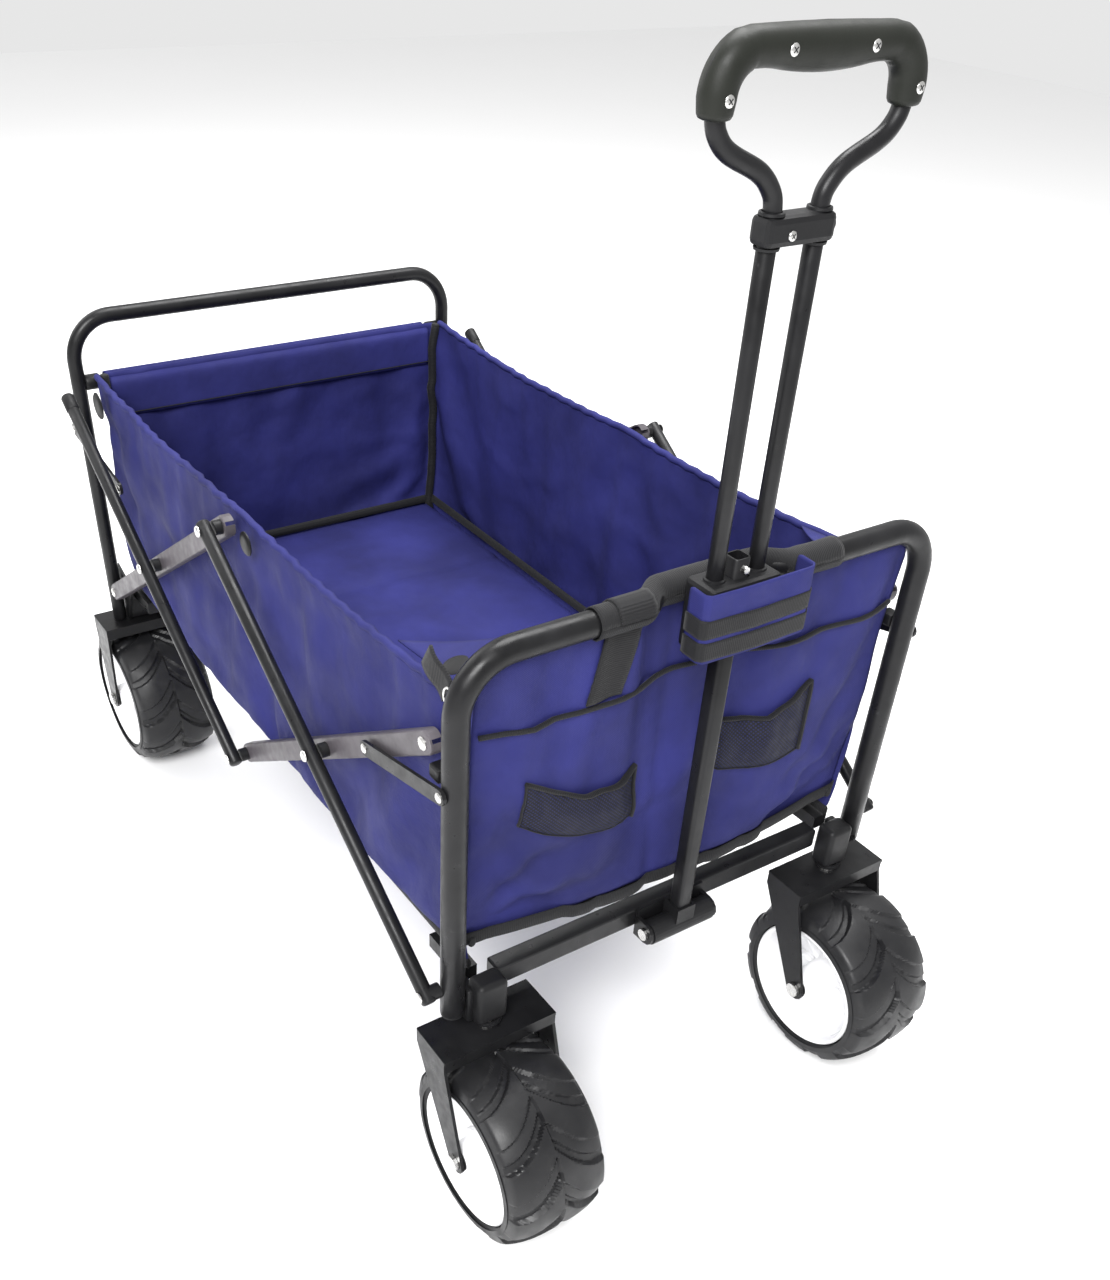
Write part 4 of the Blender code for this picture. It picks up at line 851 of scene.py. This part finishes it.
BAG_REAR_X = BASKET_LOW.x + 0.002
BAG_FRONT_X = FRONT_X - 0.014
BAG_LIMIT_Y = FLAT_IN - 0.0022
SIDE_STEPS, END_STEPS, CORNER_STEPS = 66, 38, 5     # of the sheet that makes the bag's walls


def fold_with_bag(piece):
    """The piece moves with the rear frame, on a mesh of its own."""
    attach(piece, "rear_frame")
    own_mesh(piece)


def side_top(x):
    """Height of the side rims: held at the ends and at the middle, hanging between."""
    span = (x - BAG_REAR_X) / (BAG_FRONT_X - BAG_REAR_X)
    ends = 0.498 + 0.012 * span
    middle_drop = 0.007 * math.sin(math.pi * span)
    return ends - middle_drop - 0.004 * math.sin(math.pi * (span * 2 % 1.0))


def wall_y(height_share):
    """Distance of a side wall from the middle: it leans out a little from floor to rim."""
    lean = 0.0095
    return BASKET_HIGH.y - 0.0105 + lean * height_share


def crease(place, depth=0.0050):
    """Move a point of a wall inwards along a web of soft folds."""
    rise = clamp((place.z - FLOOR_Z) / 0.03) * clamp((0.50 - place.z) / 0.03)
    along = Vector((place.x * 5.5, place.y * 5.5, place.z * 7.0))
    fold = 1 - abs(noise.noise(along + Vector((3.7, 1.3, 0.4)))) * 5.0
    fine = 1 - abs(noise.noise(along * 2.1 + Vector((0.2, 7.9, 2.2)))) * 6.0
    push = depth * rise * (max(0.0, fold) + 0.45 * max(0.0, fine))
    if abs(place.y) > BASKET_HIGH.y - 0.03:
        place.y -= math.copysign(push, place.y)
    if place.x < BAG_REAR_X + 0.03 and abs(place.y) < BASKET_HIGH.y - 0.014:
        under_hem = min(1.0, max(0.15, (0.466 - place.z) / 0.03))
        place.x += push * under_hem * clamp((place.z - FLOOR_Z - 0.030) / 0.03)


def bag_path():
    """(x, share of the half width) of each column, from the front right to the front left."""
    corner, turn_in = 0.012, 0.055
    side_end = BAG_REAR_X + corner
    half = [(BAG_FRONT_X + (side_end - BAG_FRONT_X) * n / SIDE_STEPS, -1.0)
            for n in range(SIDE_STEPS + 1)]
    for n in range(1, CORNER_STEPS):
        angle = math.pi / 2 * n / CORNER_STEPS
        half.append((BAG_REAR_X + corner * (1 - math.sin(angle)),
                     -1.0 + turn_in * (1 - math.cos(angle))))
    rear = [(BAG_REAR_X, -0.945 + 1.89 * n / END_STEPS) for n in range(END_STEPS + 1)]
    return half + rear + [(x, -across) for x, across in reversed(half)]


def bag_walls():
    """Rear wall and both sides as one sheet, hung from its rims and held at the floor."""
    down = 26
    path = bag_path()
    rows = []
    bottom = FLOOR_Z + 0.002
    for x, across in path:
        top = side_top(x)
        is_side = abs(across) == 1
        row = []
        for k in range(down + 1):
            share = k / down
            bulge = 0.010 * math.sin(math.pi * min(1.0, share * 1.5)) * (1 if is_side else 0.2)
            z = bottom + (top - bottom) * share
            if is_side and share < 0.45:
                z -= 0.016 * math.sin(math.pi * min(1.0, share * 2.2))
            row.append((x, across * (wall_y(share) + bulge * 0.6), z))
        rows.append(row)
    walls = grid("basket_walls", rows, BLUE["side"])
    walls.data.materials.append(BLUE["end"])

    pins = {}
    per = down + 1
    for i, (x, across) in enumerate(path):
        rear = abs(x - BAG_REAR_X) < 0.02
        front = x > BAG_FRONT_X - 0.012
        hung = abs(x - MID_X) < 0.013 or abs(x - (FRONT_X - 0.10)) < 0.008
        pins[i * per] = 1.0
        pins[i * per + down] = 1.0 if rear or front or hung else 0.75
        if front:
            for k in range(per):
                pins[i * per + k] = 1.0
        if 0.93 < abs(across) < 1:
            for k in range(per):
                pins[i * per + k] = max(pins.get(i * per + k, 0), 0.5)
    settle(walls, pins, 0.018, frames=30, cap=0.018)
    for v in walls.data.vertices:
        past = abs(v.co.y) - BAG_LIMIT_Y
        if past > 0:
            v.co.y = math.copysign(BAG_LIMIT_Y - 0.3 * min(0.004, past), v.co.y)
        v.co.x = max(v.co.x, BAG_REAR_X - 0.004)
        crease(v.co)
    for face in walls.data.polygons:
        if abs(face.normal.x) > 0.7 and face.center.x < BAG_REAR_X + 0.02:
            face.material_index = 1
    fold_with_bag(walls)
    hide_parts("basket")

    places = [v.co.copy() for v in walls.data.vertices]
    bottom_edge, top_edge = places[::per], places[down::per]
    corners = [places[i * per:(i + 1) * per]
               for i in (SIDE_STEPS + 3, SIDE_STEPS + END_STEPS + 8)]
    thicken(walls, 0.0014)
    return bottom_edge, top_edge, corners


def bag_trim(bottom, top, corners):
    """Bound edges: hems of the rims, tape round the floor, lower tapes and corner tapes."""
    reach = SIDE_STEPS + 2      # a side's columns and the first of the rear corner
    for side, run in (("right", top[:reach]), ("left", top[-reach:])):
        hem = tube("rim_hem_" + side, [p + Vector((0, 0, 0.001)) for p in run], 0.0034, BLUE["side"],
                   None, sides=12)
        fold_with_bag(hem)
    inner_x, inner_y = BAG_REAR_X + 0.0075, BASKET_HIGH.y - 0.0135
    inner = [Vector((max(p.x, inner_x), math.copysign(min(abs(p.y), inner_y), p.y),
                     PAD_TOP + 0.0025)) for p in bottom]
    fold_with_bag(tube("floor_tape", inner, 0.0048, TAPE["X"], None, sides=10, flat=(0.8, 1.1)))
    for side, run in (("right", bottom[:reach]), ("left", bottom[-reach:])):
        made = tube("lower_tape_" + side, [p + Vector((0, 0, -0.003)) for p in run], 0.0045,
                    TAPE["X"], None, sides=10, flat=(0.55, 1.2))
        fold_with_bag(made)
    for n, run in enumerate(corners):
        inward = Vector((0.004, -math.copysign(0.004, run[0].y), 0))
        made = tube(f"corner_tape_{n}", [p + inward for p in run], 0.0050, TAPE["Z"], None, sides=10)
        fold_with_bag(made)


def rear_hem():
    """Fabric sleeve round the hem rod with its sewn flap inside, and a cap at each end of the rod."""
    rod = middle("rear_hem_rod")
    reach = BASKET_HIGH.y - 0.016
    inner = BAG_REAR_X + 0.0062
    sleeve_radius, across = 0.0085, 60
    rows = []
    for n in range(across + 1):
        y = -reach + 2 * reach * n / across
        ripple = 0.0005 * noise.noise(Vector((0, y * 45, 0)))
        row = [(inner, y, rod.z - 0.036), (inner + ripple, y, rod.z - 0.026),
               (inner - ripple, y, rod.z - 0.016), (inner + ripple, y, rod.z - 0.006),
               (inner - 0.0004, y, rod.z + 0.001), (inner - 0.0022, y, rod.z + 0.0055)]
        row += [(u, y, v) for u, v in arc((rod.x, rod.z), sleeve_radius, 60, 210, 10)]
        rows.append(row)
    sleeve = grid("rear_hem_sleeve", rows, BLUE["end"], "rear_frame")
    thicken(sleeve, 0.0012)
    seam = [(inner + 0.0009, row[0][1], rod.z - 0.033) for row in rows]
    tube("rear_hem_seam", seam, 0.0006, TAPE["Y"], "rear_frame", sides=8)
    for side, sign in SIDES.items():
        cap = [(rod.x, sign * (LEG_Y - REAR_R - inset), rod.z) for inset in (0.0005, 0.014)]
        tube("rear_hem_cap_" + side, cap, 0.0082, PLASTIC, "rear_frame")
        side_discs(side, sign)


def side_discs(side, sign):
    """Plastic discs on the outside of a side wall, under its rim."""
    face = BAG_LIMIT_Y - 0.0015
    for name, x, z, radius in (("rear_disc_", BAG_REAR_X + 0.031, 0.476, 0.0140),
                               ("middle_disc_", MID_X + 0.022, PIVOT_TOP - 0.010, 0.0110)):
        disc = button(name + side, (x, sign * face, z), (0, sign, 0), radius, 0.0030, PLASTIC, None)
        fold_with_bag(disc)


def floor():
    """Padded floor board: crowned panels between sewn cross seams, on the bag's fabric bottom."""
    a, b = low("floor_pad"), high("floor_pad")
    b.x -= 0.009                # clear of the front panel's lower tape when the wagon is folded
    long, wide = b.x - a.x, b.y - a.y
    along, across = 96, 54
    seams = (0.245, 0.5, 0.755)
    rows = []
    for n in range(along + 1):
        u = n / along
        from_seam = min(abs(u - s) for s in seams) * long
        row = []
        for k in range(across + 1):
            v = k / across
            x, y = a.x + long * u, a.y + wide * v
            edge = min(u * long, (1 - u) * long, v * wide, (1 - v) * wide)
            crown = 0.0045 * (1 - math.exp(-edge / 0.020))
            seam = -0.0035 * math.exp(-(from_seam / 0.0045) ** 2)
            ripple = 0.0016 * noise.noise(Vector((x * 9, y * 11, 2.0)))
            fall = -0.006 * math.exp(-edge / 0.004)
            row.append((x, y, b.z - 0.0035 + crown + seam + ripple * min(1, edge / 0.03) + fall))
        rows.append(row)
    board = grid("floor_board", rows, BLUE["floor"])
    shape = bmesh.new()
    shape.from_mesh(board.data)
    border = [e for e in shape.edges if e.is_boundary]
    for part in bmesh.ops.extrude_edge_only(shape, edges=border)["geom"]:
        if isinstance(part, bmesh.types.BMVert):
            part.co.z = a.z + 0.0015
    bmesh.ops.holes_fill(shape, edges=[e for e in shape.edges if e.is_boundary], sides=0)
    bmesh.ops.recalc_face_normals(shape, faces=shape.faces)
    shape.to_mesh(board.data)
    shape.free()
    fold_with_bag(board)
    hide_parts("floor_pad")

    long, half = BAG_FRONT_X - 0.030 - BAG_REAR_X, BASKET_HIGH.y - 0.012
    along, across = 40, 24
    rows = []
    for n in range(along + 1):
        x = BAG_REAR_X + long * n / along
        row = []
        for k in range(across + 1):
            y = (-1 + 2 * k / across) * half
            row.append((x, y, a.z - 0.002 + 0.0009 * noise.noise(Vector((x * 14, y * 14, 0)))))
        rows.append(row)
    base = grid("basket_base", rows, BLUE["floor"])
    fold_with_bag(base)
    thicken(base, 0.0012, 0)


# ---------------------------------------------------------------- front panel
PANEL_TOP = TOP_Z - 0.006
PANEL_BOTTOM = 0.264


def jog_at(y):
    """How far the top bar steps back at y."""
    share = clamp((JOG_OUTER - abs(y)) / (JOG_OUTER - JOG_INNER))
    return JOG * (1 - math.cos(math.pi * share)) / 2


def panel_x(y, share):
    """Depth of the front panel: under the bar at its top, set back at its bottom."""
    top = FRONT_X - jog_at(y) - 0.003
    bottom = FRONT_X - 0.020
    return bottom + (top - bottom) * max(0.0, share) ** 1.6


def pucker(y, z, half):
    """Gathers that run from the panel's pulled-in lower corners towards its middle."""
    found = 0.0
    for sign, strength in ((-1, 1.0), (1, 0.8)):
        across = half - sign * y
        up = z - PANEL_BOTTOM - 0.004
        reach = math.hypot(across, up)
        turn = math.atan2(up, across)
        fade = math.exp(-((reach - 0.085) / 0.065) ** 2) * max(0.0, 1 - turn / 1.35)
        found += strength * 0.0125 * fade * math.sin(turn * 11 + reach * 26 + 0.6 * sign)
    wide = noise.noise(Vector((5.0, y * 9, z * 8)))
    found += 0.0060 * (1 - min(1.0, abs(wide) * 4))
    return found * clamp((0.470 - z) / 0.05) * clamp((up - 0.008) / 0.03)


def front_panel():
    """Front wall of the basket, hung from the top bar and pulled in at its lower corners."""
    across, down = 52, 34
    half = LEG_Y - FRONT_R - 0.0075
    rows = []
    for n in range(across + 1):
        side = -1 + 2 * n / across
        row = []
        for k in range(down + 1):
            share = k / down
            y = side * half
            belly = 0.012 * math.sin(math.pi * share) ** 0.8 * (1 - side ** 4)
            x = panel_x(y, share) + belly * (0.35 if abs(y) < 0.03 else 0.8)
            z = PANEL_BOTTOM + (PANEL_TOP - PANEL_BOTTOM) * share
            z += 0.010 * (1 - share) * side ** 2
            corner = max(0.0, (abs(y) - (LEG_Y - BEND)) / (BEND - FRONT_R))
            z -= share * (0.018 if y < 0 else 0.028) * corner ** 2
            row.append((min(x, FRONT_X + 0.001), y, z))
        rows.append(row)
    panel = grid("front_panel", rows, BLUE["end"])
    per = down + 1
    pins = {}
    for i in range(across + 1):
        from_side = min(i, across - i)
        for k in range(per):
            if from_side == 0:
                pins[i * per + k] = 1.0
            elif from_side == 1:
                pins[i * per + k] = 0.7
            elif k in (0, down):
                pins[i * per + k] = 1.0
    settle(panel, pins, 0.030, frames=26, cap=0.016)
    for v in panel.data.vertices:
        v.co.x += pucker(v.co.y, v.co.z, half)
        v.co.x = min(v.co.x, FRONT_X + 0.0018)
    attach(panel, "front_frame")
    points = np.array([v.co for v in panel.data.vertices]).reshape(across + 1, per, 3)
    thicken(panel, 0.0014)
    return points


def on_panel(points, y, z, lift=0.0012):
    """The point of the panel nearest to y and z, lifted off it."""
    flat = points.reshape(-1, 3)
    near = np.argsort((flat[:, 1] - y) ** 2 + (flat[:, 2] - z) ** 2)[:4]
    weight = 1 / (1e-5 + np.hypot(flat[near, 1] - y, flat[near, 2] - z))
    x = float((flat[near, 0] * weight).sum() / weight.sum())
    return Vector((x + lift, y, z))


def pocket(name, points, start, end, scoop):
    """Net pocket between two upright edges, each (y, low z, high z), with a scooped, bound mouth."""
    nu, nv = 24, 12
    rows = []
    for n in range(nu + 1):
        u = n / nu
        y = start[0] + (end[0] - start[0]) * u
        hang = math.sin(math.pi * u)
        foot = start[1] + (end[1] - start[1]) * u - 0.007 * hang
        mouth = start[2] + (end[2] - start[2]) * u - scoop * hang ** 1.2
        row = []
        for k in range(nv + 1):
            v = k / nv
            puff = 0.007 * hang * math.sin(math.pi * min(1.0, v * 0.7 + 0.12))
            ripple = 0.0012 * math.sin(u * 21 + v * 4) * hang * v
            row.append(on_panel(points, y, foot + (mouth - foot) * v, 0.0020 + puff + ripple))
        rows.append(row)
    net = grid(name, rows, NET, "front_frame")
    for part, run, radius in (("mouth", [row[-1] for row in rows], 0.0030),
                              ("foot", [row[0] for row in rows], 0.0012),
                              ("edge_0", rows[0], 0.0014), ("edge_1", rows[-1], 0.0034)):
        made = tube(f"{name}_{part}", run, radius, TAPE["Y"], "front_frame", sides=10,
                    flat=(0.6, 1.0), up=(1, 0, 0))
    thicken(net, 0.0008, 0)


def bar_sleeve():
    """Black wrap round the stepped part of the top bar."""
    half, along, around = 0.118, 48, 24
    rows = []
    for n in range(along + 1):
        y = -half + 2 * half * n / along
        x = FRONT_X - jog_at(y)
        row = []
        for k in range(around + 1):
            angle = 2 * math.pi * k / around
            radius = FRONT_R + 0.0016 + 0.0006 * noise.noise(Vector((y * 70, angle * 2, 0)))
            row.append((x + radius * math.cos(angle), y, TOP_Z + radius * math.sin(angle)))
        rows.append(row)
    front_tape("bar_sleeve", rows, "Y")


def flap():
    """Hook-and-loop flap closed round the handle block: blue cloth and two black bands."""
    a, b = low("handle_flap"), high("handle_flap")
    height = b.z - a.z
    thick, corner, belly = 0.003, 0.006, 0.0012
    front, right, left = b.x - thick / 2, a.y + thick / 2, b.y - thick / 2
    turns = (0.5, 1.05, math.pi / 2)
    face = left - right - 2 * corner
    outline = [(a.x, right), (front - corner, right)]
    outline += [(front - corner * (1 - math.sin(t)), right + corner * (1 - math.cos(t)))
                for t in turns]
    outline += [(front + belly * math.sin(math.pi * n / 6), right + corner + face * n / 6)
                for n in range(1, 6)]
    outline += [(front - corner * (1 - math.cos(t)), left - corner * (1 - math.sin(t)))
                for t in (0.0, *turns)]
    outline.append((a.x, left))
    dense = smooth_path([(x, y, 0) for x, y in outline], 3)

    def band(name, z0, z1, lift, material, rows_up=10):
        rows = []
        for p in dense:
            row = []
            away = Vector((p.x - (a.x + b.x) / 2 + 0.006, p.y - (a.y + b.y) / 2, 0)).normalized()
            for k in range(rows_up + 1):
                z = z0 + (z1 - z0) * k / rows_up
                wave = 0.0009 * noise.noise(Vector((p.x * 50, p.y * 50, z * 45)))
                row.append((p.x + away.x * (lift + wave), p.y + away.y * (lift + wave), z))
            rows.append(row)
        made = grid(name, rows, material)
        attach(made, "front_frame")
        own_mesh(made)
        return made

    cloth = band("handle_flap_cloth", a.z, b.z, 0.0, BLUE["end"])
    stand_in(cloth, "handle_flap")
    thicken(cloth, 0.0016)
    for n, (start, end) in enumerate(((0.04, 0.31), (0.37, 0.64))):
        tape = band(f"handle_flap_tape_{n}", a.z + height * start, a.z + height * end, 0.0016,
                    TAPE["Y"], 6)
        thicken(tape, 0.0010, 0)


def front_tape(name, rows, weave, thickness=0.0010):
    """A length of webbing sewn to the front panel."""
    made = grid(name, rows, TAPE[weave], "front_frame")
    thicken(made, thickness, 0)


def front_trim(points):
    """Piping, lower tape, strap and pockets of the front panel."""
    half = LEG_Y - FRONT_R - 0.012
    height, sag = 0.484, 0.004
    pipe = [on_panel(points, -half + 2 * half * n / 40,
                     height - sag * math.cos(math.pi * (-1 + n / 20) / 2), 0.0030)
            for n in range(0, 41, 2)]
    made = tube("front_piping", smooth_path(pipe, 2), 0.0022, TAPE["Y"], "front_frame", sides=10)

    rows = []
    for column in points:
        foot = Vector(column[0])
        front = max(float(p[0]) for p in column[:3]) - foot.x + 0.0022
        rows.append([foot + Vector(step) for step in
                     ((-0.0008, 0, -0.0030), (0.0004, 0, -0.0044), (front - 0.0010, 0, -0.0042),
                      (front, 0, -0.0012), (front, 0, 0.0095))])
    front_tape("front_lower_tape", rows, "Y")

    across = [0.0168 * k / 4 for k in range(-4, 5)]
    strap_y, strap_radius = -0.085, FRONT_R + 0.0030
    over = []
    for angle in (150, 120, 90, 60, 30, 5):
        turn = math.radians(angle)
        over.append([Vector((FRONT_X - jog_at(strap_y + v) + strap_radius * math.cos(turn),
                             strap_y + v, TOP_Z + strap_radius * math.sin(turn))) for v in across])
    for n in range(1, 17):
        share = n / 16
        over.append([on_panel(points, strap_y - 0.001 - 0.016 * share + v,
                              PANEL_TOP - 0.062 * share, 0.0026) for v in across])
    front_tape("front_strap", over, "Z", 0.0014)
    pocket("front_pocket_right", points, (-0.170, 0.389, 0.434), (-0.054, 0.353, 0.402), 0.014)
    pocket("front_pocket_left", points, (0.027, 0.372, 0.418), (0.122, 0.366, 0.435), 0.012)


def d_ring():
    """Webbing tab with a metal D-ring at the front right corner of the rim."""
    x, y, z = FRONT_X - FRONT_R - 0.008, -(FLAT_IN - 0.0062), 0.512
    ring = [(x - 0.003 + u, y, z + v) for u, v in arc((0, 0), 0.0085, 0, 360, 24)]
    made = tube("front_d_ring", ring, 0.0013, BRIGHT, "front_frame", sides=10, up=(0, 1, 0))
    along, over = Vector((-0.86, 0, 0.51)), Vector((0.51, 0, 0.86))
    half_width, step = 0.0118, 0.0042
    rows = []
    for n in range(9):
        spine = Vector((x - 0.007, y + 0.0012 * math.sin(n * 0.8), z + 0.003)) + along * step * n
        rows.append([spine + over * half_width * (k / 3) for k in range(-3, 4)])
    front_tape("front_ring_tab", rows, "X", 0.0022)


def gussets():
    """Fabric corners between the side rims and the top bar, each with an eyelet."""
    for side, sign in SIDES.items():
        rows = []
        for n in range(13):
            share = n / 12
            rim_point = Vector((FRONT_X - 0.120 + 0.085 * share, sign * (BASKET_HIGH.y - 0.008),
                                0.5050 + 0.008 * share))
            bar_point = Vector((FRONT_X - 0.018, sign * (0.135 + 0.061 * share),
                                PANEL_TOP - 0.012 * share))
            rows.append([rim_point.lerp(bar_point, k / 10)
                         - Vector((0, 0, 0.006 * math.sin(math.pi * k / 10))) for k in range(11)])
        gusset = grid("front_gusset_" + side, rows, BLUE["floor"], "front_frame")
        slope = (rows[8][3] - rows[6][3]).cross(rows[7][4] - rows[7][2])
        slope *= math.copysign(1, slope.z)
        eyelet = button("front_eyelet_" + side, rows[7][3], slope.normalized(), 0.0115, 0.0020,
                        PLASTIC, "front_frame")
        thicken(gusset, 0.0012, 0)


# ---------------------------------------------------------------- light, floor and camera
def stage():
    """White studio floor and three soft lamps."""
    shape = bmesh.new()
    bmesh.ops.create_grid(shape, x_segments=1, y_segments=1, size=6.0)
    data = bpy.data.meshes.new("studio_floor")
    shape.to_mesh(data)
    shape.free()
    floor_look = Look("studio_floor", (0.90, 0.90, 0.90), 0.9)
    floor_look.colour(floor_look.blend(floor_look.noise(3.0), (0.905, 0.905, 0.905),
                                       (0.915, 0.915, 0.915)))
    add_object("studio_floor", data, floor_look.made, None)

    world = bpy.data.worlds.new("studio")
    world.use_nodes = True
    world.node_tree.nodes["Background"].inputs["Color"].default_value = (1.0, 1.0, 1.0, 1.0)
    world.node_tree.nodes["Background"].inputs["Strength"].default_value = 0.80
    bpy.context.scene.world = world
    bpy.context.scene.view_settings.view_transform = "Standard"
    for name, place, size, power in (("key", (1.9, -1.9, 2.7), 1.5, 175.0),
                                     ("fill", (-2.4, -1.0, 2.0), 2.5, 40.0),
                                     ("top", (-0.4, 0.7, 3.0), 1.8, 120.0)):
        lamp = bpy.data.lights.new(name, "AREA")
        lamp.size = size
        lamp.energy = power
        thing = bpy.data.objects.new(name, lamp)
        thing.location = place
        thing.rotation_euler = (Vector((0, 0, 0.35)) - Vector(place)).to_track_quat("-Z", "Y").to_euler()
        bpy.context.scene.collection.objects.link(thing)


def camera():
    """Camera in front of the right front corner, above the handle, looking down and back."""
    eye = Vector((0.9868, -0.6097, 0.9966))
    yaw, pitch, roll = 2.5131, -0.6910, 0.0616
    way = Vector((math.cos(pitch) * math.cos(yaw), math.cos(pitch) * math.sin(yaw),
                  math.sin(pitch)))
    right = way.cross(Vector((0, 0, 1))).normalized()
    up = right.cross(way)
    side = right * math.cos(roll) + up * math.sin(roll)
    over = up * math.cos(roll) - right * math.sin(roll)
    lens = bpy.data.cameras.new("camera")
    lens.sensor_width = 36.0
    lens.lens = 35.4
    lens.shift_x = 0.0213
    lens.shift_y = 0.1622
    thing = bpy.data.objects.new("camera", lens)
    turn = Matrix((side, over, -way)).transposed()
    thing.matrix_world = Matrix.Translation(eye) @ turn.to_4x4()
    bpy.context.scene.collection.objects.link(thing)
    bpy.context.scene.camera = thing


def cad_finishes():
    """Materials of the CAD pieces that stay as they are."""
    for side in SIDES:
        set_finish(BLACK, "rear_pivot_plate_" + side, "rear_fork_" + side, "caster_fork_" + side,
                   "rear_link_" + side, "front_link_" + side)
        set_finish(PLASTIC, "front_catch_" + side)
        set_finish(BRIGHT, "rear_axle_" + side, "caster_axle_" + side, "king_pin_" + side)
    set_finish(BLACK, "rear_crossbar", "rear_floor_support", "front_axle_beam", "handle_bracket",
               "front_floor_support")
    set_finish(PLASTIC, "handle_pivot_sleeve", "handle_block", "handle_bridge")
    set_finish(BRIGHT, "handle_pivot_pin", "snap_button")


def main():
    camera()
    stage()
    cad_finishes()
    end_frames()
    scissor_bars()
    caster_brackets()
    wheels()
    handle()
    bag_trim(*bag_walls())
    rear_hem()
    floor()
    front_trim(front_panel())
    d_ring()
    gussets()
    bar_sleeve()
    flap()


main()
